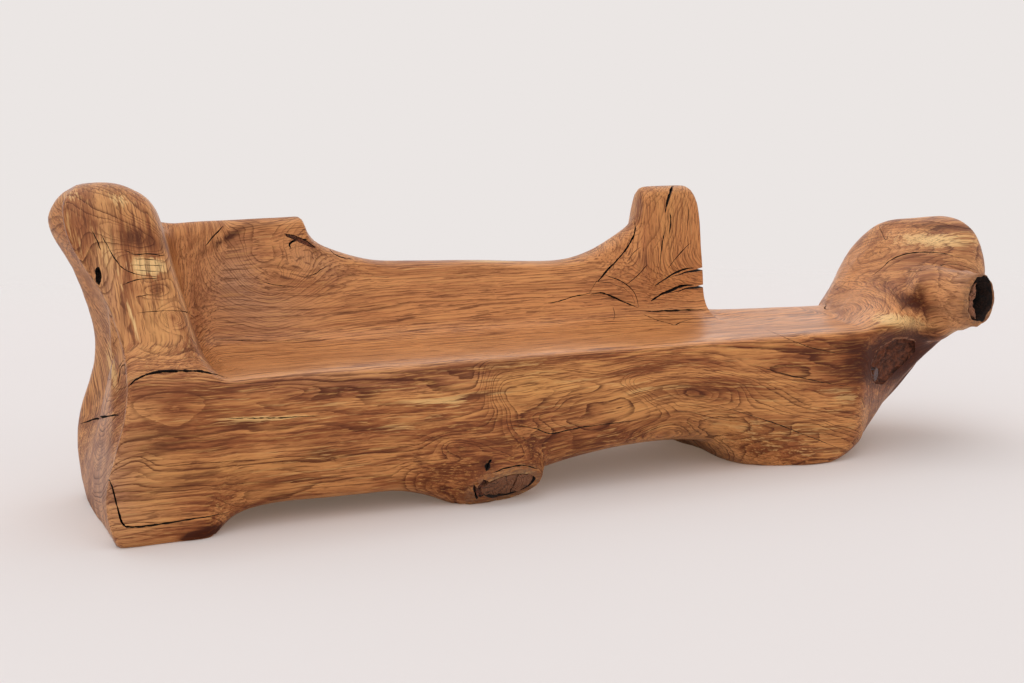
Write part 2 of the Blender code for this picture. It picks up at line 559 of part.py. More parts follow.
def dead_knot(blank, trunk, frame, collection, cutters):
    """Dead wood in the sawn face: two halves parted by a split, and a pocket of bark."""
    wide, high = KNOT_HALF_WIDTH - KNOT_RIM, KNOT_HALF_HEIGHT - KNOT_RIM
    pocket_left, pocket_up, wide_share, high_share = BARK_POCKET_SHARES
    pocket_frame = frame @ Matrix.Translation((-wide * pocket_left, high * pocket_up, 0.0))
    pocket_wide = wide * wide_share
    pocket_high = high * high_share
    pocket = round_tool("pocket_core", pocket_frame, pocket_wide, pocket_high,
                        -KNOT_PLUG_DEPTH, OVERRUN, cutters)
    pocket_cut = round_tool("pocket_cut", pocket_frame, pocket_wide + CLEARANCE,
                            pocket_high + CLEARANCE, -KNOT_PLUG_DEPTH - CLEARANCE, OVERRUN, cutters)
    socket = round_tool("knot_socket", frame, wide, high, -KNOT_PLUG_DEPTH, OVERRUN, cutters)
    bark = meet("knot_bark", blank, pocket, collection)
    boolean(bark, socket, "DIFFERENCE")
    boolean(trunk, socket, "DIFFERENCE")
    boolean(trunk, pocket_cut, "DIFFERENCE")
    halves = []
    split = wide * KNOT_SPLIT_SHARE
    for name, low, high_end in (("dead_knot_large_half", split - KNOT_SPLIT / 2, LENGTH),
                                ("dead_knot_small_half", -LENGTH, split + KNOT_SPLIT / 2)):
        half = round_tool(name, frame, wide - CLEARANCE, high - CLEARANCE,
                          -KNOT_PLUG_DEPTH + CLEARANCE, -KNOT_RECESS, collection)
        away = block_tool(name + "_cut", frame, (low, -LENGTH, -LENGTH),
                          (high_end, LENGTH, LENGTH), cutters)
        boolean(half, away, "DIFFERENCE")
        halves.append(half)
    return halves, bark


def bark_recess(blank, trunk, cage, collection, cutters):
    """Pit under the branch, lined with bark, and the small grey knot at its lower end."""
    frame = skin_frame(cage, RECESS_AT_SHARES, RECESS_TURN)
    lining = oval_tool("recess_core", frame, RECESS_HALF_LENGTH, RECESS_HALF_HEIGHT, RECESS_DEPTH, 0.0,
                       cutters)
    pit = oval_tool("recess_pit", frame, RECESS_HALF_LENGTH + CLEARANCE, RECESS_HALF_HEIGHT + CLEARANCE,
                    RECESS_DEPTH + CLEARANCE, 0.0, cutters)
    inside = oval_tool("recess_inside", frame, RECESS_HALF_LENGTH, RECESS_HALF_HEIGHT, RECESS_DEPTH,
                       BARK_THICKNESS, cutters)
    knot_frame = skin_frame(cage, SMALL_KNOT_AT_SHARES, 0.0)
    knot = round_tool("recess_knot", knot_frame, SMALL_KNOT_RADIUS, SMALL_KNOT_RADIUS, -SMALL_KNOT_DEPTH,
                      SMALL_KNOT_PROUD, collection)
    knot_cut = round_tool("small_knot_cut", knot_frame, SMALL_KNOT_RADIUS + CLEARANCE,
                          SMALL_KNOT_RADIUS + CLEARANCE, -SMALL_KNOT_DEPTH - CLEARANCE, OVERRUN, cutters)
    bark = meet("recess_bark", blank, lining, collection)
    boolean(bark, inside, "DIFFERENCE")
    boolean(bark, knot_cut, "DIFFERENCE")
    boolean(trunk, pit, "DIFFERENCE")
    boolean(trunk, knot_cut, "DIFFERENCE")
    return bark, knot


def notch_seam(blank, trunk, cage, collection, cutters):
    """Seam of bark grown into the notch of the back."""
    frame = skin_frame(cage, NOTCH_AT_SHARES, NOTCH_TURN)
    core = round_tool("notch_core", frame, NOTCH_HALF_LENGTH, NOTCH_HALF_HEIGHT, -NOTCH_DEPTH, OVERRUN,
                      cutters)
    cut = round_tool("notch_cut", frame, NOTCH_HALF_LENGTH + CLEARANCE, NOTCH_HALF_HEIGHT + CLEARANCE,
                     -NOTCH_DEPTH - CLEARANCE, OVERRUN, cutters)
    seam = meet("notch_bark", blank, core, collection)
    boolean(trunk, cut, "DIFFERENCE")
    return seam


def split_patch(blank, trunk, cage, collection, cutters):
    """Piece at the foot of the post that cracks have parted from the trunk all round."""
    frame = skin_frame(cage, PATCH_AT_SHARES, PATCH_TURN)
    tools = []
    for name, gap in (("patch_core", 0.0), ("patch_cut", CLEARANCE)):
        points = [(across * (PATCH_HALF_LENGTH + gap), upward * (PATCH_HALF_HEIGHT + gap))
                  for across, upward in PATCH_OUTLINE_SHARES]
        tools.append(outline_tool(name, frame, points, -PATCH_DEPTH - gap, OVERRUN, cutters))
    patch = meet("post_patch", blank, tools[0], collection)
    boolean(trunk, tools[1], "DIFFERENCE")
    return patch


def open_splits(trunk, cutters):
    """Splits that open through the right edge of the post."""
    edge = along(POST_RIGHT_SHARE)
    for number, (level, turn) in enumerate(zip(SPLIT_LEVEL_SHARES, SPLIT_TURNS)):
        tip = Vector((edge, DEPTH / 2, float(height(level, POST_RISE))))
        frame = axes_frame(tip, (0.0, -1.0, 0.0), (1.0, 0.0, 0.0))
        frame = frame @ Matrix.Rotation(math.radians(-turn), 4, "Z")
        opening = SPLIT_OPENING * (1 + OVERRUN / SPLIT_LENGTH) / 2
        points = [(-SPLIT_LENGTH, 0.0), (OVERRUN, -opening), (OVERRUN, opening)]
        blade = outline_tool(f"split_{number + 1}", frame, points, -DEPTH, DEPTH, cutters)
        boolean(trunk, blade, "DIFFERENCE")


def arm_hole(trunk, cage, cutters):
    """Small upright hole left by a twig in the arm's front."""
    frame = skin_frame(cage, ARM_HOLE_AT_SHARES, 0.0)
    hole = round_tool("arm_hole", frame, ARM_HOLE_HALF_WIDTH, ARM_HOLE_HALF_HEIGHT, -ARM_HOLE_DEPTH,
                      OVERRUN, cutters)
    boolean(trunk, hole, "DIFFERENCE")


def centre(parts):
    """Hang every part on one empty that puts the origin under the middle of the bench."""
    corners = [np.array([corner[:] for corner in part.bound_box]) for part in parts]
    low, high = np.concatenate(corners).min(axis=0), np.concatenate(corners).max(axis=0)
    root = bpy.data.objects.new("bench_origin", None)
    bpy.context.scene.collection.objects.link(root)
    root.location = (-(low[0] + high[0]) / 2, -(low[1] + high[1]) / 2, -low[2])
    for part in parts:
        part.parent = root
    print("trunk corner to middle", [round(value, 5) for value in root.location])


def main():
    for old in list(bpy.data.objects):
        bpy.data.objects.remove(old)
    collection = bpy.data.collections.new("carved_log_bench")
    cutters = bpy.data.collections.new("cutters")
    for group in (collection, cutters):
        bpy.context.scene.collection.children.link(group)
    cage = tightened(rings())
    stub_end = spot(STUB_END_SHARES, height(STUB_END_SHARES[2], LOBE_RISE))
    knot_end = spot(KNOT_END_SHARES, KNOT_HALF_HEIGHT * KNOT_END_SHARES[2])
    stub_frame = axes_frame(stub_end, STUB_AIM_SHARES, (1.0, 0.0, 0.0))
    knot_frame = axes_frame(knot_end, KNOT_AIM_SHARES, (1.0, 0.0, 0.0))
    trunk = trunk_blank(cage, collection, cutters, stub_frame, knot_frame)
    blank = place_object("trunk_blank", trunk.data.copy(), cutters)
    heart = hollow_stub(trunk, stub_frame, collection, cutters)
    halves, pocket = dead_knot(blank, trunk, knot_frame, collection, cutters)
    recess, small_knot = bark_recess(blank, trunk, cage, collection, cutters)
    seam = notch_seam(blank, trunk, cage, collection, cutters)
    patch = split_patch(blank, trunk, cage, collection, cutters)
    open_splits(trunk, cutters)
    arm_hole(trunk, cage, cutters)
    slots = {"carved_wood": [trunk, patch], "dead_wood": [heart, *halves],
             "bark": [pocket, recess, seam], "grey_knot": [small_knot]}
    for slot, parts in slots.items():
        material = finish(slot)
        for part in parts:
            part.data.materials.clear()
            part.data.materials.append(material)
    for tool in cutters.objects:
        tool.hide_render = True
        tool.display_type = "WIRE"
    centre([part for parts in slots.values() for part in parts])


main()
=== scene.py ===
"""Dressed carved log bench: fine skin, cracks, knots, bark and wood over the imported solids."""

import math

import bmesh
import bpy
import numpy as np
from mathutils import Matrix, Vector
from mathutils.bvhtree import BVHTree


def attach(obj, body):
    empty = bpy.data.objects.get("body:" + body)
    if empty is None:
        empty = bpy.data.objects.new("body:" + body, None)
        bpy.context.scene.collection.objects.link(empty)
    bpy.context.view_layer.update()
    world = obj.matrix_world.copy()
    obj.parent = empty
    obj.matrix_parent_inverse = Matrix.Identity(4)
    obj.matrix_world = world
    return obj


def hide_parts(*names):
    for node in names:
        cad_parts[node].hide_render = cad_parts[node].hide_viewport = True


bl_info = {
    "name": "Carved Log Bench",
    "version": (1, 0, 0),
    "blender": (4, 5, 0),
    "location": "3D View > Sidebar > Bench",
    "description": "Dresses the packed solids of a bench carved from one log",
    "category": "Object",
}

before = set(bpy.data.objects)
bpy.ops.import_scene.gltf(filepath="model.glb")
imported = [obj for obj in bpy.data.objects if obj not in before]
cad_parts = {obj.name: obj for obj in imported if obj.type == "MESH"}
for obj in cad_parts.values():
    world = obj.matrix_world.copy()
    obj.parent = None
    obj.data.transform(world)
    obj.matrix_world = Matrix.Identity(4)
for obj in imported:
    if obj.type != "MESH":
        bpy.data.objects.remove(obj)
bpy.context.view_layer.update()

# The trunk's own frame has its origin at the left foot's front corner. This is where that
# corner lies from the middle of the bench.
TRUNK_SHIFT = np.array([-1.44779, -0.30466, 0.0])

# Driving sizes of the trunk, in metres
LENGTH = 2.965
DEPTH = 0.70
SEAT_HEIGHT = 0.41
ARM_RISE = 0.478
BACK_RISE = 0.346
POST_RISE = 0.42
LOBE_RISE = 0.318
ARM_WIDTH = 0.27
HIGH_BACK_LENGTH = 0.398
POST_WIDTH = 0.255
ARM_FLARE = 0.09
SOLE_DIP = 0.03

# Fits and cuts
CLEARANCE = 0.0004
OVERRUN = 0.05

# Sawn hollow branch at the right
STUB_RADIUS = 0.083
STUB_REACH = 0.30
STUB_WALL = 0.02
STUB_HOLLOW_DEPTH = 0.11
HEART_RECESS = 0.014

# Sawn dead branch under the front edge
KNOT_HALF_WIDTH = 0.105
KNOT_HALF_HEIGHT = 0.064
KNOT_REACH = 0.21
KNOT_RIM = 0.02
KNOT_PLUG_DEPTH = 0.045
KNOT_RECESS = 0.005
KNOT_SPLIT = 0.004

# Bark recess and small knot under the lobe
RECESS_HALF_LENGTH = 0.155
RECESS_HALF_HEIGHT = 0.085
RECESS_DEPTH = 0.045
BARK_THICKNESS = 0.018
SMALL_KNOT_RADIUS = 0.023
SMALL_KNOT_DEPTH = 0.03
SMALL_KNOT_PROUD = 0.003

# Notch, post and arm details
NOTCH_HALF_LENGTH = 0.05
NOTCH_HALF_HEIGHT = 0.012
NOTCH_DEPTH = 0.03
PATCH_HALF_LENGTH = 0.085
PATCH_HALF_HEIGHT = 0.03
PATCH_DEPTH = 0.035
SPLIT_LENGTH = 0.15
SPLIT_OPENING = 0.01
ARM_HOLE_HALF_HEIGHT = 0.024
ARM_HOLE_HALF_WIDTH = 0.008
ARM_HOLE_DEPTH = 0.03

# The small step that finds a tangent, and the zone place of the post's right edge
NUDGE_SHARE = 0.05
POST_RIGHT_SHARE = 4.0

# Where each feature sits, as a zone place and an outline point, with its turn in degrees
RECESS_AT_SHARES = (5.45, 2.85)
RECESS_TURN = 8.0
SMALL_KNOT_AT_SHARES = (5.3, 2.45)
NOTCH_AT_SHARES = (1.94, 11.05)
NOTCH_TURN = -25.0
PATCH_AT_SHARES = (2.9, 9.7)
PATCH_TURN = -12.0
ARM_HOLE_AT_SHARES = (0.42, 7.4)
# Zone places given to the rings of the arm and of the lobe, first and last
ARM_ZONE_SHARES = (0.1, 0.9)
LOBE_ZONE_SHARES = (5.0, 5.9)
LOBE_RING_COUNT = 7

# Middle of each sawn end, and its aim: a zone place, a share of the depth, and for the branch
# at the right a level, for the dead one its height over the floor in half heights of the knot
STUB_END_SHARES = (5.576, -0.10, 1.267)
STUB_AIM_SHARES = (0.27, -0.96, 0.0)
KNOT_END_SHARES = (2.349, -0.012, 0.8)
KNOT_AIM_SHARES = (0.08, -0.80, -0.60)
# Growth of a branch toward the trunk: share of its reach, and growth up, down, left and right
STUB_FLARE_SHARES = [
    (0, 0, 0, 0, 0), (0.17, 0.02, 0.12, 0.05, 0), (0.33, 0.06, 0.42, 0.3, 0.02),
    (0.5, 0.14, 0.9, 0.55, 0.05), (0.7, 0.15, 0.9, 0.1, 0.1), (1, 0, 0.2, -0.85, 0.15)]
KNOT_FLARE_SHARES = [
    (0, 0, 0, 0, 0), (0.08, 0.12, 0.06, 0.16, 0.12), (0.25, 0.55, 0.2, 0.6, 0.35),
    (0.5, 1.1, 0.35, 1.0, 0.7), (1, 1.2, 0.4, 1.2, 0.9)]
SPLIT_LEVEL_SHARES = (1.36, 1.22)
SPLIT_TURNS = (-7.0, -4.0)
PATCH_OUTLINE_SHARES = [
    (-1, -0.55), (-0.45, -0.65), (0.1, -0.75), (0.55, -0.85), (1, -1), (0.85, -0.1), (0.45, 0.6),
    (-0.1, 0.9), (-0.7, 1)]
HEART_BITE_SHARE = 0.62
HEART_OFFSET_SHARE = 0.62
BARK_POCKET_SHARES = (0.97, 0.2, 0.21, 0.75)
KNOT_SPLIT_SHARE = 0.24

# Where the post starts and how long the lobe is, as shares of the whole length
POST_START_SHARE = 0.6037
LOBE_LENGTH_SHARE = 0.2243
POST_FROM_LEFT = LENGTH * POST_START_SHARE
LOBE_LENGTH = LENGTH * LOBE_LENGTH_SHARE
# A place along the bench is a zone number and the share of that zone: 0 arm, 1 high back,
# 2 saddle, 3 post, 4 open seat, 5 lobe
SADDLE_LENGTH = POST_FROM_LEFT - ARM_WIDTH - HIGH_BACK_LENGTH
OPEN_SEAT_LENGTH = LENGTH - LOBE_LENGTH - POST_FROM_LEFT - POST_WIDTH
ZONES = (ARM_WIDTH, HIGH_BACK_LENGTH, SADDLE_LENGTH, POST_WIDTH, OPEN_SEAT_LENGTH, LOBE_LENGTH)
# A level from 0 to 1 is a share of the seat height,
# and one from 1 to 2 is the seat height and a share of the rise above it.
CREST_SHARES = [
    (1.0, 0.97), (1.93, 1.0), (1.99, 0.988), (2.004, 0.90), (2.03, 0.795), (2.07, 0.72),
    (2.2, 0.612), (2.57, 0.57), (2.71, 0.535), (2.80, 0.55), (2.87, 0.615), (2.93, 0.70)]
POST_CREST_SHARES = [
    (2.93, 0.605), (3.0, 0.69), (3.06, 0.755), (3.078, 0.85), (3.095, 0.93), (3.16, 0.975),
    (3.80, 0.975), (3.95, 0.96), (3.985, 0.91), (3.992, 0.45), (3.999, 0.09), (4.16, 0.02),
    (5.2, 0.01)]
BELLY_SHARES = [
    (0.80, 1.0), (0.97, 0.10), (1.10, -0.9), (1.28, -1.45), (2.1, -1.45), (2.3, -1.6), (2.44, -2.0),
    (2.52, -2.3), (2.64, -2.95), (2.8, -3.15), (2.96, -2.75), (3.10, -1.75), (3.38, -0.1),
    (3.6, 0.8), (4.6, 0.5), (5.0, -0.9)]
TUCK_SHARES = [
    (0.89, 0.085), (1.23, 0.14), (2.1, 0.115), (2.75, 0.17), (2.96, 0.214), (3.43, 0.20),
    (3.82, 0.10), (4.2, 0.03), (4.6, 0.035), (5.0, 0.08)]
ROOT_SHARES = [(0.96, 0.714), (2.47, 0.714), (3.82, 0.77), (4.05, 0.77), (4.6, 0.643), (5.15, 0.60)]
LEAN_SHARES = [(0.96, 0.143), (2.5, 0.13), (3.1, 0.07), (5.0, 0.07)]
CREST_THICKNESS_SHARES = [(1.0, 0.086), (2.5, 0.114), (3.4, 0.143), (4.0, 0.13), (4.2, 0.07)]
REAR_SHARES = [(0.9, 1.0), (3.4, 1.0), (4.0, 0.985), (4.6, 0.915), (5.2, 0.85)]
STATION_SHARES = [
    1.02, 1.15, 1.38, 1.65, 1.92, 1.99, 2.014, 2.046, 2.11, 2.20, 2.30, 2.41, 2.53, 2.67, 2.795,
    2.90, 2.985, 3.055, 3.09, 3.14, 3.28, 3.59, 3.84, 3.96, 3.988, 4.01, 4.2, 4.6]

# Each outline point is a weighted sum of the guides at its station: across, of the front edge,
# the tuck under it, the foot of the back, its lean, its thickness and the rear face; and
# upward, of the sole, the seat, the low back and the crest.
SECTION_DEPTH_SHARES = [
    (1, 1, 0, 0, 0, 0), (1, 0.3, 0, 0, 0, 0), (1, 0, 0, 0, 0, 0), (1, 0, 0, 0, 0, 0),
    (0.988, 0, 0.012, 0, 0, 0), (0.91, 0, 0.09, 0, 0, 0), (0.66, 0, 0.34, 0, 0, 0),
    (0.45, 0, 0.55, 0, 0, 0), (0.16, 0, 0.84, 0, 0, 0), (0, 0, 1, 0, 0, 0),
    (0, 0, 1, 0.35, 0, 0), (0, 0, 1, 0.8, 0, 0), (0, 0, 1, 1, 0.06, 0), (0, 0, 1, 1, 1, 0),
    (0.015, 0, 0, 0, 0, 0.985), (0, 0, 0, 0, 0, 1), (0.04, 0, 0, 0, 0, 0.96),
    (0.21, 0, 0, 0, 0, 0.79), (0.5, 0, 0, 0, 0, 0.5)]
SECTION_HEIGHT_SHARES = [
    (1, 0, 0, 0), (0.82, 0.18, 0, 0), (0.55, 0.45, 0, 0), (0.25, 0.75, 0, 0), (0.055, 0.945, 0, 0),
    (0, 1, 0, 0), (0.01, 0.99, 0, 0), (0.03, 0.97, 0, 0), (0.02, 0.96, 0.02, 0), (0, 0.82, 0.18, 0),
    (0, 0.42, 0.58, 0), (0, 0.14, 0, 0.86), (0, 0, 0, 1), (0, 0, 0, 1), (0.05, 0.5, 0.45, 0),
    (0.3, 0.7, 0, 0), (0.75, 0.25, 0, 0), (1, 0, 0, 0), (0.97, 0.03, 0, 0)]
# The low back follows the crest no higher than this share of the back's rise
LOW_BACK_SHARE = 0.62
# The swelling round the dead branch: its zone place, its half width there, and how far each
# of the first outline points is pushed forward and down, as shares of the knot's half height
SWELL_AT_SHARE = 2.29
SWELL_WIDTH_SHARE = 0.105
SWELL_FORWARD_SHARES = (0.45, 0.75, 0.35, 0.05)
SWELL_DOWN_SHARES = (1.55, 0.6, 0.05, 0.0)

# The arm's outline: share of the depth and level
ARM_OUTLINE_SHARES = [
    (0.02, -1.0), (0.004, 0.195), (0, 0.463), (0, 0.756), (0.011, 0.976), (0.079, 1.1),
    (0.164, 1.24), (0.264, 1.44), (0.374, 1.68), (0.479, 1.92), (0.586, 2.0), (0.707, 1.958),
    (0.829, 1.795), (0.921, 1.565), (0.964, 1.25), (0.971, 0.878), (0.943, 0.44), (0.771, -1.0),
    (0.4, -1.0)]
# How far the arm's end leans out to the left at each level, as a share of the flare
ARM_FLARE_SHARES = [
    (-1.0, 0.0), (0, -0.14), (0.134, -0.4), (0.278, -0.52), (0.4, -0.42), (0.55, -0.22),
    (0.715, 0.01), (0.93, 0.19), (1.09, 0.256), (1.27, 0.18), (1.44, -0.01), (1.554, -0.3),
    (1.66, -0.68), (1.76, -1.0), (1.84, -0.95), (1.9, -0.68), (1.98, -0.2), (2.03, 0.1)]
# How far the rear of the arm's end is drawn in, and how deep the end is dished, by level
ARM_REAR_SHARES = [(0, 0), (0.28, -0.25), (0.6, 0.24), (0.85, 0.32), (1.2, 0.12), (1.5, -0.06),
                   (1.8, 0)]
ARM_DISH_SHARES = [(0.1, -0.2), (0.5, 0.05), (0.8, 0.28), (1.5, 0.28), (1.8, 0.0)]
# The arm's rings: share of its width, of the flare, of shrinking to the middle, of the rise
ARM_RING_SHARES = [
    (0.14, 1.0, 0.45, 1.0), (0.03, 1.0, 0.07, 1.0), (0.13, 1.0, 0, 1.0), (0.37, 0.7, 0, 1.0),
    (0.61, 0.5, 0, 0.95), (0.83, 0.2, 0, 0.82)]
ARM_MIDDLE_SHARES = (0.19, 0.49, 1.02)
CHAMFER_SHARE = 0.026
JOIN_LEVEL_SHARE = 1.735
# Outline points that the second ring draws back, and those of the last rings that meet the back
CHAMFER_POINTS = slice(5, 10)
JOIN_POINTS = slice(11, 14)
JOIN_RINGS = slice(-2, None)

# The lobe's crest and its right flank: share of its length, of the depth, and level
LOBE_CREST_SHARES = [
    (0.21, 0.286, 0.1), (0.285, 0.243, 0.27), (0.27, 0.186, 0.51), (0.24, 0.143, 0.756),
    (0.2, 0.03, 0.985), (0.26, 0.08, 1.09), (0.34, 0.16, 1.27), (0.451, 0.286, 1.50),
    (0.515, 0.414, 1.686), (0.56, 0.543, 1.85), (0.59, 0.63, 1.93), (0.585, 0.707, 1.88),
    (0.55, 0.78, 1.70), (0.515, 0.83, 1.41), (0.48, 0.85, 1.03), (0.406, 0.836, 0.732),
    (0.3, 0.757, 0.39), (0.226, 0.614, 0.08), (0.19, 0.43, 0.07)]
LOBE_FLANK_SHARES = [
    (0.375, 0.357, 0.24), (0.435, 0.343, 0.37), (0.53, 0.314, 0.55), (0.65, 0.257, 0.765),
    (0.73, 0.17, 0.976), (0.827, 0.17, 1.22), (0.902, 0.22, 1.472), (0.932, 0.286, 1.692),
    (0.947, 0.357, 1.865), (0.947, 0.443, 1.975), (0.932, 0.529, 2.0), (0.91, 0.614, 1.93),
    (0.872, 0.671, 1.692), (0.827, 0.7, 1.41), (0.767, 0.693, 1.094), (0.677, 0.657, 0.83),
    (0.54, 0.571, 0.512), (0.40, 0.471, 0.26), (0.35, 0.414, 0.2)]
LOBE_SKEW_SHARE = 0.41
LOBE_START_SHARE = -0.03
# Where the two rings between the seat and the crest stand: by outline point, and for all
LOBE_FOOT_SHARES = (
    0.3, 0.3, 0.3, 0.3, 0.25, 0.2, 0.15, 0.12, 0.11, 0.1, 0.1, 0.1, 0.1, 0.1, 0.15, 0.2, 0.3, 0.3,
    0.3)
LOBE_MIDDLE_SHARE = 0.57
# How far the lobe's front bulges forward under and over the branch, by outline point
LOBE_BULGE_SHARES = (0, 0, 0, 0, 0.03, 0.06, 0.08, 0.07, 0.05, 0.03)
LOBE_END_SHARES = (1.0, 0.443, 1.47)
LOBE_ROUNDING_SHARE = 0.35


def along(place):
    """Distance from the left foot corner of a zone number and share."""
    edges = np.cumsum([0.0, *ZONES])
    return np.interp(place, range(len(edges)), edges)


def height(level, rise):
    """Height of a level: below the sole, up to the seat, or in the rise above it."""
    level = np.asarray(level, float)
    below = SOLE_DIP * np.minimum(level, 0)
    return below + SEAT_HEIGHT * np.clip(level, 0, 1) + rise * np.maximum(level - 1, 0)


def guide(table, place):
    """Value of a guide line, read between its rows."""
    places, shares = zip(*table)
    return np.interp(place, places, shares)


def bench_ring(place):
    """One section of the bench between the arm and the lobe."""
    root = DEPTH * guide(ROOT_SHARES, place)
    guides = [0.0, DEPTH * guide(TUCK_SHARES, place), root, DEPTH * guide(LEAN_SHARES, place),
              DEPTH * guide(CREST_THICKNESS_SHARES, place), DEPTH * guide(REAR_SHARES, place)]
    sole = -SOLE_DIP * guide(BELLY_SHARES, place)
    saddle = BACK_RISE * guide(CREST_SHARES, place)
    post = POST_RISE * guide(POST_CREST_SHARES, place)
    crest = SEAT_HEIGHT + (saddle if place < CREST_SHARES[-1][0] else post)
    low_back = min(crest, SEAT_HEIGHT + BACK_RISE * LOW_BACK_SHARE)
    across = np.array(SECTION_DEPTH_SHARES) @ np.array(guides)
    upward = np.array(SECTION_HEIGHT_SHARES) @ np.array([sole, SEAT_HEIGHT, low_back, crest])
    swell = KNOT_HALF_HEIGHT * np.exp(-((place - SWELL_AT_SHARE) / SWELL_WIDTH_SHARE)**2)
    swollen = len(SWELL_FORWARD_SHARES)
    across[:swollen] -= swell * np.array(SWELL_FORWARD_SHARES)
    upward[:swollen] -= swell * np.array(SWELL_DOWN_SHARES)
    return np.stack([np.full(len(across), along(place)), across, upward], axis=1)


def arm_ring(width_share, flare_share, shrink_share, rise_share):
    """One section through the arm, leaning out by the flare and drawn in to its middle."""
    outline = np.array(ARM_OUTLINE_SHARES)
    across = DEPTH * outline[:, 0]
    upward = height(outline[:, 1], ARM_RISE * rise_share)
    middle = (DEPTH * ARM_MIDDLE_SHARES[1], height(ARM_MIDDLE_SHARES[2], ARM_RISE))
    across = across + (middle[0] - across) * shrink_share
    upward = upward + (middle[1] - upward) * shrink_share
    levels = np.where(upward < 0, upward / SOLE_DIP, np.where(
        upward < SEAT_HEIGHT, upward / SEAT_HEIGHT, 1 + (upward - SEAT_HEIGHT) / ARM_RISE))
    rear = guide(ARM_REAR_SHARES, levels) * across / DEPTH
    lean = ARM_FLARE * flare_share * (guide(ARM_FLARE_SHARES, levels) + rear)
    dish = ARM_WIDTH * shrink_share * guide(ARM_DISH_SHARES, levels)
    return np.stack([ARM_WIDTH * width_share + lean + dish, across, upward], axis=1)


def lobe_ring(table):
    """One ring of the lobe from its table of shares."""
    rows = np.array(table)
    return np.stack([LENGTH - LOBE_LENGTH + LOBE_LENGTH * rows[:, 0], DEPTH * rows[:, 1],
                     height(rows[:, 2], LOBE_RISE)], axis=1)


def rings():
    """Every section of the trunk from the left end to the right, with a pole at both ends."""
    arm = [arm_ring(*shares) for shares in ARM_RING_SHARES]
    arm[1][CHAMFER_POINTS, 1] += DEPTH * CHAMFER_SHARE
    join = height(JOIN_LEVEL_SHARE, ARM_RISE)
    for ring in arm[JOIN_RINGS]:
        ring[JOIN_POINTS, 2] = np.maximum(ring[JOIN_POINTS, 2], join)
    count = len(ARM_OUTLINE_SHARES)
    left = np.array([ARM_WIDTH * ARM_MIDDLE_SHARES[0], DEPTH * ARM_MIDDLE_SHARES[1],
                     height(ARM_MIDDLE_SHARES[2], ARM_RISE)])
    bench = [bench_ring(place) for place in STATION_SHARES]
    start = bench_ring(5.0)
    start[:, 0] += LOBE_LENGTH * LOBE_START_SHARE + LOBE_SKEW_SHARE * start[:, 1]
    crest = lobe_ring(LOBE_CREST_SHARES)
    foot = start + (crest - start) * np.array(LOBE_FOOT_SHARES)[:, None]
    middle = start + (crest - start) * LOBE_MIDDLE_SHARE
    flank = lobe_ring(LOBE_FLANK_SHARES)
    right = lobe_ring([LOBE_END_SHARES])[0]
    last = flank + (right - flank) * LOBE_ROUNDING_SHARE
    last[:, 0] = (flank[:, 0] + right[0]) / 2
    face = (crest + flank) / 2
    face[:len(LOBE_BULGE_SHARES), 1] -= DEPTH * np.array(LOBE_BULGE_SHARES)
    lobe = [start, foot, middle, crest, face, flank, last]
    assert len(lobe) == LOBE_RING_COUNT
    return np.array([np.tile(left, (count, 1))] + arm + bench + lobe + [np.tile(right, (count, 1))])


def tightened(cage):
    """Cage moved out once, so that the smooth skin runs close to the sections themselves."""
    round_mean = (np.roll(cage, 1, 1) + 4 * cage + np.roll(cage, -1, 1)) / 6
    ends = np.concatenate([round_mean[:1], round_mean, round_mean[-1:]])
    mean = (ends[:-2] + 4 * ends[1:-1] + ends[2:]) / 6
    moved = 2 * cage - mean
    moved[0], moved[-1] = cage[0], cage[-1]
    return moved


def spline_weights(places, count, closed):
    """Cubic B-spline weight of each of count cage points at each place."""
    base = np.floor(places).astype(int)
    t = (places - base)[:, None]
    cubic = np.concatenate([(1 - t)**3, 3 * t**3 - 6 * t**2 + 4,
                            -3 * t**3 + 3 * t**2 + 3 * t + 1, t**3], axis=1) / 6
    index = base[:, None] + np.arange(-1, 3)
    index = index % count if closed else np.clip(index, 0, count - 1)
    weights = np.zeros((len(places), count))
    np.add.at(weights, (np.arange(len(places))[:, None], index), cubic)
    return weights


CAGE = tightened(rings())


def skin(ring_places, outline_places):
    """Grid of points of the smooth skin over the cage."""
    down = spline_weights(np.asarray(ring_places, float), CAGE.shape[0], False)
    round_ = spline_weights(np.asarray(outline_places, float), CAGE.shape[1], True)
    return np.einsum('ur,rmc,vm->uvc', down, CAGE, round_)


# ---------------------------------------------------------------- numbers and noise

# Large odd numbers that scatter the value of a corner: for x, y, z, the seed and a last mixing
SCATTER = (374761393, 668265263, 1442695041, 974711, 1274126177)
# How far each layer of noise is shifted from the one before
LAYER_SHIFT = 17.3


def smooth(values, low, high):
    """Smooth step: 0 below low, 1 above high, and 3t^2 - 2t^3 between them."""
    t = np.clip((np.asarray(values, float) - low) / (high - low), 0, 1)
    return t * t * (3 - 2 * t)


def corner_value(corner, seed):
    """Fixed scattered number from 0 to 1 for each whole-number corner."""
    n = sum(corner[..., k].astype(np.int64) * SCATTER[k] for k in range(3))
    n = (n + seed * SCATTER[3]) & 0xffffffff
    n = ((n ^ (n >> 13)) * SCATTER[4]) & 0xffffffff
    return ((n ^ (n >> 16)) & 0xffff) / 0xffff


def lattice_noise(points, seed):
    """Value noise from -1 to 1: scattered corner values, blended by 6t^5 - 15t^4 + 10t^3."""
    base = np.floor(points)
    t = points - base
    t = t * t * t * (t * (t * 6 - 15) + 10)
    total = np.zeros(points.shape[:-1])
    for corner in np.ndindex(2, 2, 2):
        share = np.where(np.array(corner) == 1, t, 1 - t).prod(axis=-1)
        total += share * corner_value(base + corner, seed)
    return total * 2 - 1


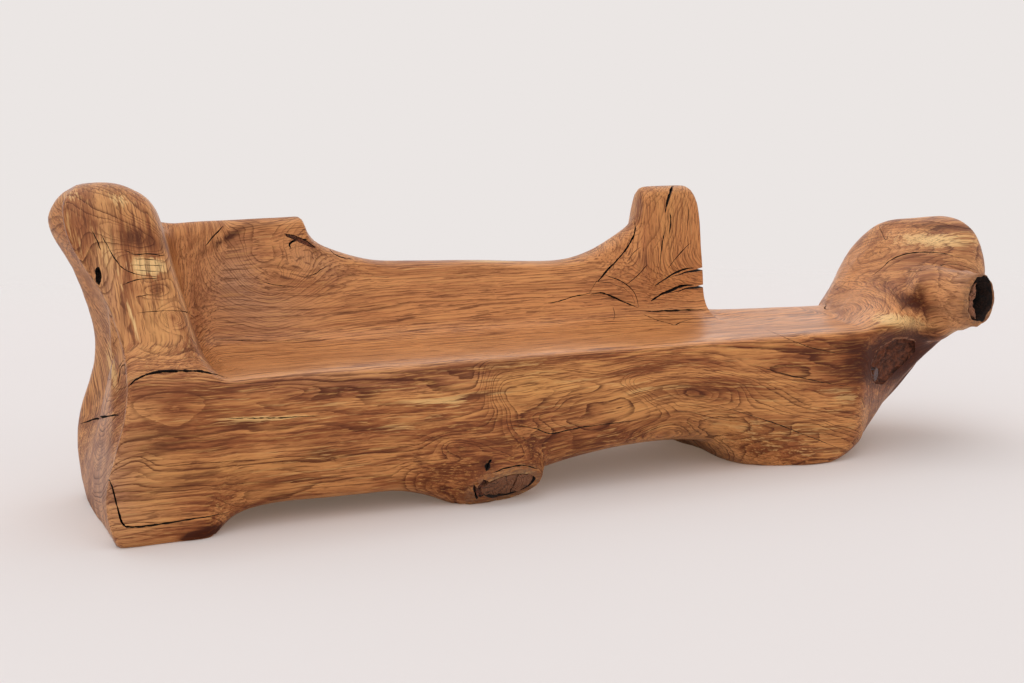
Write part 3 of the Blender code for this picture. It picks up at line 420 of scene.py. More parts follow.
def layered_noise(points, scale, layers=3, seed=0):
    """Sum of noises, each twice as fine and half as strong as the one before. The scale is one
    number or one for each axis."""
    points = np.asarray(points, float) * scale
    return sum(lattice_noise(points * 2**k + LAYER_SHIFT * k, seed + k) / 2**k for k in range(layers))


def noise_at(x, y, z, layers=3, seed=0):
    """Layered noise at three coordinates, of which each is an array or one number."""
    return layered_noise(np.stack(np.broadcast_arrays(x, y, z), axis=-1), 1.0, layers, seed)


def hump(distance, width):
    """Bell curve exp(-(d / w)^2)."""
    return np.exp(-(distance / width)**2)


# ---------------------------------------------------------------- the photograph's view

EYE = np.array([-0.53995, -3.52913, 1.06])
VIEW_TURN = math.radians(24.593)
VIEW_DROP = math.radians(8.8536)
FOCAL_PIXELS = 1422.0
FRAME_WIDTH = 1024
FRAME_HEIGHT = 683
SENSOR_WIDTH = 36.0


def view_axes():
    """Right, up and forward of the camera in the trunk's frame."""
    right = np.array([math.cos(VIEW_TURN), -math.sin(VIEW_TURN), 0.0])
    flat = np.array([math.sin(VIEW_TURN), math.cos(VIEW_TURN), 0.0])
    forward = flat * math.cos(VIEW_DROP) - np.array([0.0, 0.0, math.sin(VIEW_DROP)])
    return right, np.cross(right, forward), forward


def sight(pixels):
    """Unit directions from the camera through pixels of the photograph."""
    right, up, forward = view_axes()
    pixels = np.atleast_2d(np.asarray(pixels, float))
    across = (pixels[:, :1] - FRAME_WIDTH / 2) / FOCAL_PIXELS
    drop = (pixels[:, 1:] - FRAME_HEIGHT / 2) / FOCAL_PIXELS
    rays = forward + across * right - drop * up
    return rays / np.linalg.norm(rays, axis=1, keepdims=True)


def pixels_of(points):
    """Where points of the trunk's frame show in the photograph."""
    right, up, forward = view_axes()
    offset = points - EYE
    depth = offset @ forward
    across = FRAME_WIDTH / 2 + FOCAL_PIXELS * (offset @ right) / depth
    return np.stack([across, FRAME_HEIGHT / 2 - FOCAL_PIXELS * (offset @ up) / depth], axis=-1)


# ---------------------------------------------------------------- meshes

# More than any mesh's materials, and marks compared with all points at a time
MANY_MATERIALS = 99
BATCH = 40


def mesh_from(name, points, *face_sets):
    """Mesh of points in the trunk's frame and arrays of faces with 3 or 4 corners each."""
    mesh = bpy.data.meshes.new(name)
    sizes = np.concatenate([np.full(len(faces), faces.shape[1]) for faces in face_sets])
    corners = np.concatenate([faces.ravel() for faces in face_sets])
    mesh.vertices.add(len(points))
    mesh.loops.add(len(corners))
    mesh.polygons.add(len(sizes))
    mesh.vertices.foreach_set("co", (points + TRUNK_SHIFT).ravel())
    mesh.loops.foreach_set("vertex_index", corners)
    mesh.polygons.foreach_set("loop_start", np.cumsum(sizes) - sizes)
    mesh.update(calc_edges=True)
    return mesh


def loft_arrays(grid, poles=None):
    """Points, quads and triangles of a closed mesh over a grid of rings, with a fan at both ends
    to a pole, which is the middle of the end ring where none is given."""
    rows, sides = grid.shape[:2]
    index = np.arange(rows * sides).reshape(rows, sides)
    after = np.roll(index, -1, axis=1)
    quads = np.stack([index[:-1], index[1:], after[1:], after[:-1]], axis=-1).reshape(-1, 4)
    first = np.stack([np.full(sides, rows * sides), index[0], after[0]], axis=-1)
    last = np.stack([np.full(sides, rows * sides + 1), after[-1], index[-1]], axis=-1)
    if poles is None:
        poles = [grid[0].mean(axis=0), grid[-1].mean(axis=0)]
    return np.concatenate([grid.reshape(-1, 3), poles]), quads, np.concatenate([first, last])


def outward(mesh):
    """Turn the faces of a closed mesh outward."""
    bm = bmesh.new()
    bm.from_mesh(mesh)
    bmesh.ops.recalc_face_normals(bm, faces=bm.faces)
    bm.to_mesh(mesh)
    bm.free()
    return mesh


def closed_loft(name, grid, poles=None):
    """Closed mesh over a grid of rings, with its faces outward."""
    return outward(mesh_from(name, *loft_arrays(grid, poles)))


def new_object(name, mesh, *materials):
    """Object at the origin with its materials."""
    thing = bpy.data.objects.new(name, mesh)
    bpy.context.scene.collection.objects.link(thing)
    for material in materials:
        mesh.materials.append(material)
    return thing


def read_array(items, name, width=1, kind=int):
    """One stored property of all vertices, edges, faces or corners, in rows of a width."""
    flat = np.empty(len(items) * width, kind)
    items.foreach_get(name, flat)
    return flat.reshape(-1, width) if width > 1 else flat


def read_points(mesh):
    """Vertices of a mesh in the trunk's frame."""
    return read_array(mesh.vertices, "co", 3, np.float32).astype(float) - TRUNK_SHIFT


def write_points(mesh, points):
    """Move the vertices of a mesh to points of the trunk's frame."""
    mesh.vertices.foreach_set("co", (points + TRUNK_SHIFT).ravel().astype(np.float32))
    mesh.update()


def read_normals(mesh):
    """Vertex normals of a mesh."""
    return read_array(mesh.vertex_normals, "vector", 3, np.float32).astype(float)


def write_values(mesh, name, values):
    """Store one number or one colour for each vertex."""
    kind, key = "FLOAT", "value"
    if values.ndim > 1:
        kind, key = "FLOAT_COLOR", "color"
        values = np.concatenate([values, np.ones((len(values), 4 - values.shape[1]))], axis=1)
    mesh.attributes.new(name, kind, "POINT").data.foreach_set(key, values.ravel().astype(np.float32))


def boolean(target, tool, operation):
    """Join to or cut from the target the tool, which is then deleted."""
    modifier = target.modifiers.new("cut", "BOOLEAN")
    modifier.operation = operation
    modifier.material_mode = "TRANSFER"
    modifier.object = tool
    evaluated = target.evaluated_get(bpy.context.evaluated_depsgraph_get())
    mesh = bpy.data.meshes.new_from_object(evaluated)
    target.modifiers.remove(modifier)
    target.data = mesh
    bpy.data.objects.remove(tool)
    return mesh


def edge_materials(mesh):
    """Lowest and highest material number of the faces at each edge."""
    numbers = read_array(mesh.polygons, "material_index")
    edges = read_array(mesh.loops, "edge_index")
    per_corner = np.repeat(numbers, read_array(mesh.polygons, "loop_total"))
    low = np.full(len(mesh.edges), MANY_MATERIALS)
    high = np.full(len(mesh.edges), -1)
    np.minimum.at(low, edges, per_corner)
    np.maximum.at(high, edges, per_corner)
    return low, high


def edge_ends(mesh):
    """Both vertices of each edge."""
    return read_array(mesh.edges, "vertices", 2)


def relaxed(points, ends, strength, rounds):
    """Points moved again and again toward the mean of their neighbours, by their strength."""
    busy = strength > 0
    ends = ends[busy[ends].any(axis=1)]
    both = np.concatenate([ends, ends[:, ::-1]])
    count = np.maximum(np.bincount(both[:, 0], minlength=len(points)), 1)
    points = points.copy()
    for _ in range(rounds):
        total = [np.bincount(both[:, 0], points[both[:, 1], k], len(points)) for k in range(3)]
        mean = np.stack(total, axis=1) / count[:, None]
        points[busy] += strength[busy, None] * (mean - points)[busy]
    return points


def nearest(points, marks):
    """Distance from each point to the nearest of a few marks, which are taken by the batch."""
    best = np.full(len(points), np.inf)
    for start in range(0, len(marks), BATCH):
        some = marks[start:start + BATCH]
        best = np.minimum(best, np.linalg.norm(points[:, None] - some[None], axis=2).min(axis=1))
    return best


# ---------------------------------------------------------------- the trunk's skin

# Rings and points round of the trunk's fine skin, the least step between its rings, and the
# zone places between which they may not cross
SKIN_COUNTS = (392, 192)
RING_STEP = 0.0002
STRAIGHT_ZONES = (1.5, 4.5)
# Steps of the coarse grid to each point of the cage, how much a ring's longest step counts beside
# its mean one, and how dense the points stand round the trunk, by outline point
COARSE_STEPS = 8
LONG_STEP_SHARE = 0.3
SIDE_WEIGHTS = [(0, 1), (1, 1.3), (13, 1.3), (14, 0.75), (17, 0.5), (18, 0.5), (19, 1)]
# Points round a branch, and running mean that rounds its growth
BRANCH_SIDES = 96
BRANCH_MEAN = 7


def even_places(lengths, places, count):
    """Places that part a path of given lengths into equal steps."""
    run = np.concatenate([[0.0], np.cumsum(lengths)])
    return np.interp(np.linspace(0, run[-1], count), run, places)


def fine_grid(ring_count, side_count):
    """Fine grid over the cage with nearly equal steps along and round the trunk, whose rings
    never cross: each stands at least a small step past the one before."""
    ring_places = np.linspace(-1, len(CAGE), COARSE_STEPS * (len(CAGE) + 1) + 1)
    side_places = np.linspace(0, CAGE.shape[1], COARSE_STEPS * CAGE.shape[1] + 1)
    coarse = skin(ring_places, side_places)
    along_steps = np.linalg.norm(np.diff(coarse, axis=0), axis=2)
    round_steps = np.linalg.norm(np.diff(coarse, axis=1), axis=2)
    rings_even = even_places(along_steps.mean(axis=1) + along_steps.max(axis=1) * LONG_STEP_SHARE,
                             ring_places, ring_count + 2)[1:-1]
    side_weight = round_steps.mean(axis=0) * guide(SIDE_WEIGHTS, side_places[:-1])
    sides_even = even_places(side_weight, side_places, side_count + 1)[:-1]
    grid = skin(rings_even, sides_even)
    middle = grid[..., 0].mean(axis=1)
    start, end = along(STRAIGHT_ZONES)
    straight = np.flatnonzero((middle > start) & (middle < end))
    least = RING_STEP * np.arange(len(straight))[:, None]
    grid[straight, :, 0] = np.maximum.accumulate(grid[straight, :, 0] - least, axis=0) + least
    return grid


def local_frame(origin, outward_axis, side):
    """Frame in the trunk's coordinates with its third axis outward, first near to side."""
    third = np.array(outward_axis, float)
    third /= np.linalg.norm(third)
    second = np.cross(third, np.array(side, float))
    second /= np.linalg.norm(second)
    return np.array(origin, float), np.cross(second, third), second, third


def from_frame(place, across, upward, out):
    """Points from their three coordinates in a local frame."""
    origin, first, second, third = place
    return (origin + np.asarray(across)[..., None] * first + np.asarray(upward)[..., None] * second
            + np.asarray(out)[..., None] * third)


def to_frame(place, points):
    """Three coordinates of points in a local frame."""
    origin, first, second, third = place
    offset = points - origin
    return offset @ first, offset @ second, offset @ third


def stub_place():
    """Local frame of the sawn branch's end."""
    shares = STUB_END_SHARES
    origin = (along(shares[0]), DEPTH * shares[1], float(height(shares[2], LOBE_RISE)))
    return local_frame(origin, STUB_AIM_SHARES, (1, 0, 0))


def knot_place():
    """Local frame of the dead branch's sawn face."""
    shares = KNOT_END_SHARES
    return local_frame((along(shares[0]), DEPTH * shares[1], KNOT_HALF_HEIGHT * shares[2]),
                       KNOT_AIM_SHARES, (1, 0, 0))


def branch_mesh(name, place, half_width, half_height, reach, flare, steps, rough):
    """Rings from the sawn end back into the trunk, each an ellipse grown by the flare table."""
    marks, *sides = np.array(flare).T
    shares = np.linspace(0, 1, steps)
    angle = np.linspace(0, 2 * math.pi, BRANCH_SIDES, endpoint=False)
    cosine, sine = np.cos(angle), np.sin(angle)
    kernel = np.ones(BRANCH_MEAN) / BRANCH_MEAN
    reads = np.linspace(-0.1, 1.1, steps + BRANCH_MEAN - 1)
    up, down, left, right = (
        1 + np.convolve(np.interp(reads, marks, side), kernel, "valid")[:, None] for side in sides)
    across = half_width * cosine * np.where(cosine > 0, right, left)
    upward = half_height * sine * np.where(sine > 0, up, down)
    grid = from_frame(place, across, upward, np.broadcast_to(-reach * shares[:, None], across.shape))
    middle = from_frame(place, 0.0, 0.0, -reach * shares)[:, None]
    ray = grid - middle
    ray /= np.linalg.norm(ray, axis=2, keepdims=True)
    return closed_loft(name, grid + ray * rough(grid, shares[:, None])[..., None])


# ---------------------------------------------------------------- cracks and pits

# Drying cracks: width, depth, group and the pixels of the photograph that they run through.
# Cracks of one group don't cross each other.
CRACKS = {
    "arm_foot": (0.0075, 0.05, 0, [(128, 387), (137, 379), (149, 374), (168, 371), (183, 371),
        (198, 371), (214, 374), (229, 378)]),
    "rear_strip": (0.006, 0.04, 0, [(80, 424), (95, 419), (107, 416), (119, 415)]),
    "foot_side": (0.005, 0.04, 0, [(107, 472), (113, 490), (119, 513), (123, 524), (130, 527),
        (146, 526), (167, 523), (198, 518), (228, 513)]),
    "side_curl": (0.003, 0.02, 0, [(126, 359), (120, 371), (118, 385)]),
    "pale_line": (0.0028, 0.02, 0, [(225, 418), (268, 418), (320, 416)]),
    "bump_right": (0.0035, 0.03, 0, [(507, 425), (533, 428), (547, 433), (556, 433), (568, 430),
        (584, 427), (614, 423), (640, 420)]),
    "post_top": (0.009, 0.06, 0, [(672, 186), (668, 199), (665, 213)]),
    "post_middle": (0.005, 0.04, 1, [(670, 213), (671, 221), (669, 235)]),
    "post_low": (0.004, 0.04, 1, [(666, 225), (662, 246), (660, 267)]),
    "post_seam": (0.006, 0.04, 0, [(634, 221), (635, 231), (629, 245), (620, 257), (603, 275),
        (590, 293)]),
    "patch_top": (0.0028, 0.02, 1, [(605, 275), (614, 278), (626, 284), (635, 294), (639, 308)]),
    "patch_foot": (0.005, 0.03, 1, [(591, 294), (602, 293), (611, 296), (624, 302), (638, 308)]),
    "left_of_patch": (0.003, 0.02, 2, [(548, 303), (560, 301), (575, 296), (592, 293)]),
    "patch_branch": (0.003, 0.02, 2, [(626, 285), (636, 277), (648, 264)]),
    "split_upper": (0.006, 0.05, 0, [(655, 286), (662, 281), (675, 273), (685, 269), (694, 268)]),
    "split_lower": (0.011, 0.06, 0, [(651, 301), (662, 294), (672, 290), (681, 286), (694, 285)]),
    "post_base": (0.007, 0.05, 0, [(640, 312), (662, 311), (688, 310), (707, 310)]),
    "post_base_low": (0.004, 0.03, 0, [(643, 314), (657, 320), (668, 323), (675, 325), (681, 322),
        (693, 319)]),
    "post_twig_a": (0.003, 0.02, 1, [(668, 268), (676, 258), (684, 249), (690, 243)]),
    "post_twig_b": (0.0025, 0.02, 1, [(687, 203), (689, 215), (687, 226)]),
    "post_twig_c": (0.002, 0.015, 2, [(627, 262), (634, 252), (641, 247)]),
    "lobe_arc": (0.005, 0.03, 0, [(872, 276), (883, 267), (891, 260), (905, 254), (924, 252),
        (941, 253), (954, 256)]),
    "lobe_low": (0.003, 0.015, 0, [(908, 272), (919, 271), (934, 267), (953, 264), (979, 271)]),
    "lobe_left": (0.002, 0.015, 1, [(878, 224), (882, 233), (886, 240), (889, 232)]),
    "lobe_foot": (0.003, 0.02, 0, [(826, 303), (824, 309), (829, 309)]),
    "front_a": (0.0022, 0.02, 0, [(768, 330), (791, 340), (816, 349), (854, 356)]),
    "front_b": (0.0022, 0.02, 0, [(753, 365), (801, 378), (851, 387)]),
    "front_c": (0.0022, 0.02, 0, [(719, 406), (753, 416), (782, 426), (810, 437), (841, 449)]),
    "high_back_a": (0.0035, 0.02, 0, [(223, 226), (214, 236), (205, 246)]),
    "back_low_a": (0.002, 0.015, 0, [(212, 340), (235, 340), (262, 341), (290, 341), (320, 339)]),
    "saddle_end": (0.004, 0.02, 0, [(322, 240), (331, 251), (340, 257), (352, 259)]),
    "seat_long": (0.0018, 0.012, 0, [(505, 354), (560, 344), (610, 336), (662, 328)]),
    "under_patch_a": (0.002, 0.012, 1, [(613, 307), (615, 314), (614, 320)]),
    "left_side_a": (0.003, 0.02, 0, [(92, 231), (97, 241), (101, 250)]),
    "arm_fold_a": (0.0022, 0.012, 1, [(116, 372), (121, 364), (125, 356)]),
    "arm_dash_a": (0.0025, 0.012, 0, [(123, 285), (132, 281), (142, 279), (161, 278)]),
    "arm_dash_b": (0.002, 0.012, 0, [(136, 297), (149, 295), (161, 295)]),
    "arm_dash_c": (0.002, 0.012, 0, [(137, 313), (155, 311), (175, 311), (188, 313), (196, 319)]),
    "arm_tear": (0.0028, 0.015, 1, [(101, 234), (106, 243), (115, 259), (123, 268), (136, 274),
        (160, 277)]),
    "arm_tear_top": (0.003, 0.015, 0, [(124, 250), (134, 254), (150, 254), (166, 256)]),
    "splinter_a": (0.002, 0.012, 0, [(133, 259), (147, 259), (164, 261)]),
    "splinter_b": (0.002, 0.012, 0, [(131, 265), (146, 265), (164, 266)]),
    "splinter_c": (0.002, 0.012, 0, [(134, 270), (148, 271), (160, 271)]),
    "strip_b": (0.002, 0.012, 0, [(104, 376), (111, 380)]),
    "notch_curl": (0.005, 0.02, 0, [(308, 239), (302, 240), (295, 240), (289, 244), (291, 249)]),
    "notch_line": (0.0022, 0.012, 0, [(305, 277), (315, 274), (322, 269), (332, 264)]),
    "knot_gap": (0.011, 0.03, 1, [(474, 485), (476, 492), (477, 499)]),
    "knot_pocket": (0.013, 0.02, 0, [(491, 459), (488, 465), (486, 471)]),
    "knot_top": (0.004, 0.02, 2, [(493, 473), (503, 469), (515, 466), (527, 466), (537, 469)]),
    "eye_line": (0.002, 0.012, 0, [(262, 281), (275, 285), (290, 286)]),
}
CRACK_GROUPS = 3
# How far a crack's tool stands over the skin, its steps in pixels and its waver
CRACK_OVERLAP = 0.006
CRACK_STEP = 1.3
CRACK_JITTER = 0.0009
# Share of a crack's half width at its bottom, and the steps round and along a pit
CRACK_BOTTOM_SHARE = 0.12
PIT_SIDES = 56
# Size of a cut's waver through the post, and the points along it
SPLIT_BEND = 0.003
SPLIT_POINTS = 24


def drawn_line(pixels, step):
    """Smooth line through pixels: cubic B-spline of the drawn points, ends kept, in even steps."""
    pixels = np.array(pixels, float)
    padded = np.concatenate([[2 * pixels[0] - pixels[1]], pixels, [2 * pixels[-1] - pixels[-2]]])
    count = max(int(np.linalg.norm(np.diff(pixels, axis=0), axis=1).sum() / step), 4)
    places = np.linspace(0, len(pixels) - 1, count)
    k = np.minimum(places.astype(int), len(pixels) - 2)
    t = (places - k)[:, None]
    a, b, c, d = padded[k], padded[k + 1], padded[k + 2], padded[k + 3]
    return 0.5 * (2 * b + (c - a) * t + (2 * a - 5 * b + 4 * c - d) * t**2
                  + (3 * b - a - 3 * c + d) * t**3)


def on_skin(tree, pixels):
    """Points and normals of the skin that the camera sees at these pixels."""
    eye = Vector(EYE + TRUNK_SHIFT)
    found = [tree.ray_cast(eye, Vector(ray)) for ray in sight(pixels)]
    found = [hit for hit in found if hit[0] is not None]
    points = np.array([hit[0][:] for hit in found]) - TRUNK_SHIFT
    normals = np.array([hit[1][:] for hit in found])
    return points, normals


def evened(rows):
    """Running mean of five rows, with the end rows carried on in a straight line."""
    before = 2 * rows[:1] - rows[2:0:-1]
    after = 2 * rows[-1:] - rows[-2:-4:-1]
    padded = np.concatenate([before, rows, after])
    return np.stack([np.convolve(padded[:, k], np.ones(5) / 5, "valid") for k in range(3)], axis=1)


def crack_blade(points, normals, width, depth, seed):
    """Thin wedge along a line: widest in the middle, tapered to both ends, with uneven sides."""
    normals, points = evened(normals), evened(points)
    normals /= np.linalg.norm(normals, axis=1, keepdims=True)
    side = np.cross(normals, np.gradient(points, axis=0))
    side /= np.linalg.norm(side, axis=1, keepdims=True)
    share = np.linspace(0, 1, len(points))
    swell = np.sqrt(np.maximum(np.sin(math.pi * share), 0.02))
    half = width / 2 * swell * (1 + 0.45 * noise_at(share * len(points) * 0.35, 0, seed))
    drift = CRACK_JITTER * noise_at(share * len(points) * 0.22, 9, seed, 2)
    low = depth * (0.35 + 0.65 * swell)
    top_side = side * (half * (1 + CRACK_OVERLAP / low))[:, None]
    low_side = side * CRACK_BOTTOM_SHARE * half[:, None]
    above, below = normals * CRACK_OVERLAP, normals * low[:, None]
    middle = points + side * drift[:, None]
    return loft_arrays(np.stack([middle + top_side + above, middle - top_side + above,
                                 middle - low_side - below, middle + low_side - below], axis=1))


def crack_tool(tree, names, width_scale, depth_scale):
    """One mesh of several cracks."""
    points, quads, triangles, start = [], [], [], 0
    for name in names:
        width, depth, _, pixels = CRACKS[name]
        line, normals = on_skin(tree, drawn_line(pixels, CRACK_STEP))
        seed = list(CRACKS).index(name) * 3.7
        blade = crack_blade(line, normals, width * width_scale, depth * depth_scale, seed)
        points.append(blade[0])
        quads.append(blade[1] + start)
        triangles.append(blade[2] + start)
        start += len(blade[0])
    return outward(mesh_from("cracks", *map(np.concatenate, (points, quads, triangles))))


def cracks_of(group, word=""):
    """Names of a group's cracks that have a word in them."""
    return [name for name, row in CRACKS.items() if row[2] == group and word in name]


def cut_cracks(target, tree, names, sizes, material, tries=4):
    """Cut cracks together, and by halves or a little wider where that spoils the mesh."""
    whole = target.data
    width = sizes.crack_width * (1 + 0.12 * (4 - tries))
    tool = new_object("cracks", crack_tool(tree, names, width, sizes.crack_depth), material)
    boolean(target, tool, "DIFFERENCE")
    if len(target.data.vertices) > 0.9 * len(whole.vertices):
        return
    target.data = whole
    if len(names) > 1:
        half = len(names) // 2
        cut_cracks(target, tree, names[:half], sizes, material)
        cut_cracks(target, tree, names[half:], sizes, material)
    elif tries:
        cut_cracks(target, tree, names, sizes, material, tries - 1)
    else:
        raise RuntimeError(f"the crack {names[0]} can't be cut")


def pit_tool(name, place, half_length, half_height, near, rough, sides=PIT_SIDES, steps=14):
    """Uneven elliptical bore in a local frame, from a near level out past the skin: its radius
    wavers round and along the axis."""
    angle = np.linspace(0, 2 * math.pi, sides, endpoint=False)[None]
    out = np.linspace(near, OVERRUN, steps)[:, None]
    cosine, sine = np.cos(angle), np.sin(angle)
    wave = 1 + rough * noise_at(cosine * 1.6 + half_length * 90, sine * 1.6, out * 14, 4)
    return closed_loft(name, from_frame(place, half_length * cosine * wave,
                                        half_height * sine * wave, np.broadcast_to(out, wave.shape)))


def oval_pit(name, place, half_length, half_height, depth, rough, steps=24):
    """Uneven ellipsoid in a local frame: every radius wavers with its direction."""
    angle = np.linspace(0, 2 * math.pi, PIT_SIDES, endpoint=False)[None]
    fall = np.linspace(0, math.pi, steps + 2)[1:-1, None]
    ray = np.stack(np.broadcast_arrays(np.cos(angle) * np.sin(fall), np.sin(angle) * np.sin(fall),
                                       np.cos(fall)), axis=-1)
    wave = 1 + rough * layered_noise(ray * 1.7 + half_length * 70, 1.0, 4)
    return closed_loft(name, from_frame(place, half_length * ray[..., 0] * wave,
                                        half_height * ray[..., 1] * wave, depth * ray[..., 2] * wave))


def split_tool(level_share, turn):
    """Wedge through the right edge of the post, open at the edge and closed inside."""
    origin = (along(POST_RIGHT_SHARE), DEPTH / 2, float(height(level_share, POST_RISE)))
    turned = math.radians(-turn)
    opening = SPLIT_OPENING * (1 + OVERRUN / SPLIT_LENGTH) / 2
    run = np.linspace(-SPLIT_LENGTH, OVERRUN, SPLIT_POINTS)
    half = np.maximum(opening * (run + SPLIT_LENGTH) / (SPLIT_LENGTH + OVERRUN), 0.0002)
    bend = SPLIT_BEND * noise_at(run * 28, level_share, 0, 1, 4)
    across = np.stack([run] * 4, axis=1)
    upward = np.stack([bend + half, bend - half, bend - half, bend + half], axis=1)
    out = np.broadcast_to(np.array([DEPTH, DEPTH, -DEPTH, -DEPTH]), across.shape)
    return closed_loft("split", from_frame(
        local_frame(origin, (0, -1, 0), (1, 0, 0)),
        across * math.cos(turned) - upward * math.sin(turned),
        across * math.sin(turned) + upward * math.cos(turned), out))


def skin_place(place, turn=0.0):
    """Local frame on the trunk's skin: first axis along the bench, turned in degrees."""
    marks = [0.0, *np.linspace(*ARM_ZONE_SHARES, len(ARM_RING_SHARES)), *STATION_SHARES,
             *np.linspace(*LOBE_ZONE_SHARES, LOBE_RING_COUNT), len(ZONES)]
    ring, point = np.interp(place[0], marks, range(len(marks))), place[1]
    patch = skin((ring - NUDGE_SHARE, ring + NUDGE_SHARE), (point - NUDGE_SHARE, point + NUDGE_SHARE))
    along_skin = patch[1].mean(axis=0) - patch[0].mean(axis=0)
    round_skin = patch[:, 1].mean(axis=0) - patch[:, 0].mean(axis=0)
    origin, first, second, third = local_frame(skin((ring,), (point,))[0, 0],
                                               np.cross(along_skin, round_skin), along_skin)
    angle = math.radians(turn)
    return (origin, first * math.cos(angle) + second * math.sin(angle),
            second * math.cos(angle) - first * math.sin(angle), third)


# ---------------------------------------------------------------- the wood's figure

# Hills and hollows of the ring distance, which the eye reads as eyes, tongues and arches: pixel
# of the middle, half width, half height, turn in degrees, and height in metres
HILLS = [
    (172, 317, 13, 10, 0, 0.06), (157, 289, 13, 7, 0, 0.04), (172, 400, 60, 22, 0, 0.035),
    (133, 235, 34, 14, 20, 0.07), (116, 201, 16, 8, 15, 0.02), (268, 268, 44, 46, 0, 0.17),
    (276, 275, 10, 6, 0, 0.035), (295, 263, 7, 6, 10, 0.02), (277, 391, 46, 8, -3, 0.02),
    (136, 467, 12, 14, 0, 0.012), (279, 473, 40, 9, -3, 0.008), (205, 455, 60, 9, 0, -0.008),
    (350, 480, 46, 9, -5, 0.010), (240, 500, 50, 8, -6, -0.012), (400, 440, 60, 9, -3, -0.008),
    (455, 444, 24, 9, 0, 0.035), (569, 379, 54, 19, 0, 0.06), (560, 420, 40, 8, 8, -0.02),
    (690, 388, 70, 20, 5, 0.10), (640, 382, 14, 12, 40, 0.03), (780, 372, 50, 9, 10, -0.02),
    (800, 425, 60, 12, 16, 0.03), (700, 440, 60, 8, 6, 0.02), (430, 480, 30, 14, 20, 0.03),
    (520, 455, 24, 10, 30, -0.03), (878, 377, 26, 20, 0, 0.03), (905, 300, 40, 16, -10, 0.008)]
# Bundle of steep rings that runs down the front: pixels of its left and right edge at a height,
# its lean, its middle height and reach, and the ring distance across it
CROTCH = (478.0, 514.0, 0.35, 398.0, 36.0, 0.09)
# Places where fibres flow round a knot: point in the trunk's frame and radius
KNOT_FLOWS = [((1.60, 0.0, 0.06), 0.13), ((2.72, 0.0, 0.50), 0.12), ((2.52, 0.05, 0.33), 0.06),
              ((0.68, 0.52, 0.66), 0.06), ((0.14, 0.36, 0.72), 0.03), ((0.55, 0.52, 0.60), 0.03)]
# Pith of the log, of the arm and of the post, each by two points of the trunk's frame, and the
# way of the grain in the arm
LOG_PITH = ((0.0, 0.36, 0.42), (3.0, 0.33, 0.38))
ARM_PITH = ((0.16, 0.16, 0.20), (0.12, 0.62, 0.80))
POST_PITH = ((1.72, 0.72, 0.45), (1.80, 0.72, 0.95))
ARM_GRAIN = np.array([-0.12, 0.55, 0.82])
# Pale sapwood with painted highlights, dark wood with painted shade, golden, greyed and calm wood:
# pixel, half width, half height, turn, amount
PALE_AND_PAINTED_HIGHLIGHTS = [
    # painted highlights: (500, 260) on the back's top edge, (130, 312) and (112, 368) by the arm's
    # ridge
    (265, 418, 85, 3.0, -1, 1.0), (148, 266, 17, 8, 4, 2.4), (500, 260, 50, 3.5, -1, 0.9),
    (937, 240, 42, 8, 2, 1.3), (902, 323, 30, 9, 12, 2.0), (130, 312, 44, 1.6, 72, 1.2),
    (430, 402, 32, 5, -3, 0.7), (398, 425, 40, 5, -2, 0.6), (460, 405, 20, 7, 0, 0.5),
    (230, 455, 90, 5, -2, 0.35), (330, 472, 60, 5, -4, 0.35), (120, 200, 12, 6, 20, 1.0),
    (74, 195, 8, 6, 0, 1.0), (560, 405, 45, 8, 6, 0.4), (640, 390, 60, 10, 6, 0.45),
    (800, 405, 70, 22, 12, 0.25), (845, 395, 20, 8, 12, 0.6), (540, 370, 34, 14, 0, 0.2),
    (955, 333, 22, 4, -14, 1.2), (112, 368, 4, 26, -10, 0.9), (104, 255, 9, 24, 0, 0.4),
    (340, 396, 90, 9, -2, 0.3), (770, 435, 70, 16, 12, 0.3)]
DARK_AND_PAINTED_SHADE = [
    # (912, 302), (900, 358) and (850, 345): dark wood and bark, with painted shade by the branch and
    # recess
    (470, 484, 40, 22, 0, 0.4), (487, 464, 9, 9, 0, 1.0), (912, 302, 21, 9, 12, 1.4),
    (900, 358, 52, 25, -14, 2.4), (935, 226, 40, 5, 0, 1.1), (945, 300, 20, 24, 0, 0.25),
    (138, 239, 30, 14, 12, 1.0), (227, 238, 32, 4.5, -32, 1.3), (193, 242, 14, 3, -45, 0.9),
    (171, 317, 9, 7, 0, 0.9), (157, 289, 12, 6, 0, 0.7),
    (160, 410, 50, 12, 0, 0.4), (190, 440, 60, 12, 0, 0.45), (915, 265, 35, 20, 0, 0.4),
    # (200, 535) is a painted shadow along the left foot's base, where the floor's shade shows under
    # it
    (315, 250, 22, 7, 25, 0.6), (200, 535, 26, 5.5, -18, 3.0), (190, 465, 70, 40, 0, 0.35),
    (440, 450, 60, 10, 5, 0.3), (95, 500, 20, 40, 0, 0.3), (510, 440, 30, 14, 30, 0.3),
    (770, 350, 45, 12, 10, 0.3), (850, 345, 14, 14, 0, 0.7), (110, 437, 14, 12, 0, 0.4),
    (700, 388, 60, 18, 5, 0.25)]
GOLDEN = [
    (158, 325, 26, 40, 0, 0.7), (150, 480, 34, 40, 0, 0.5), (240, 480, 60, 26, 0, 0.3),
    (545, 380, 45, 22, 0, 0.7), (640, 400, 90, 26, 6, 0.5), (800, 410, 80, 45, 10, 0.5),
    (300, 470, 110, 25, -4, 0.35), (905, 325, 40, 12, 8, 0.8), (935, 240, 45, 10, 0, 0.7),
    (110, 200, 45, 18, 0, 0.4), (668, 225, 20, 45, 0, 0.6), (104, 255, 14, 34, 0, 0.7),
    (500, 395, 40, 24, 0, 0.4), (700, 430, 90, 16, 6, 0.4)]
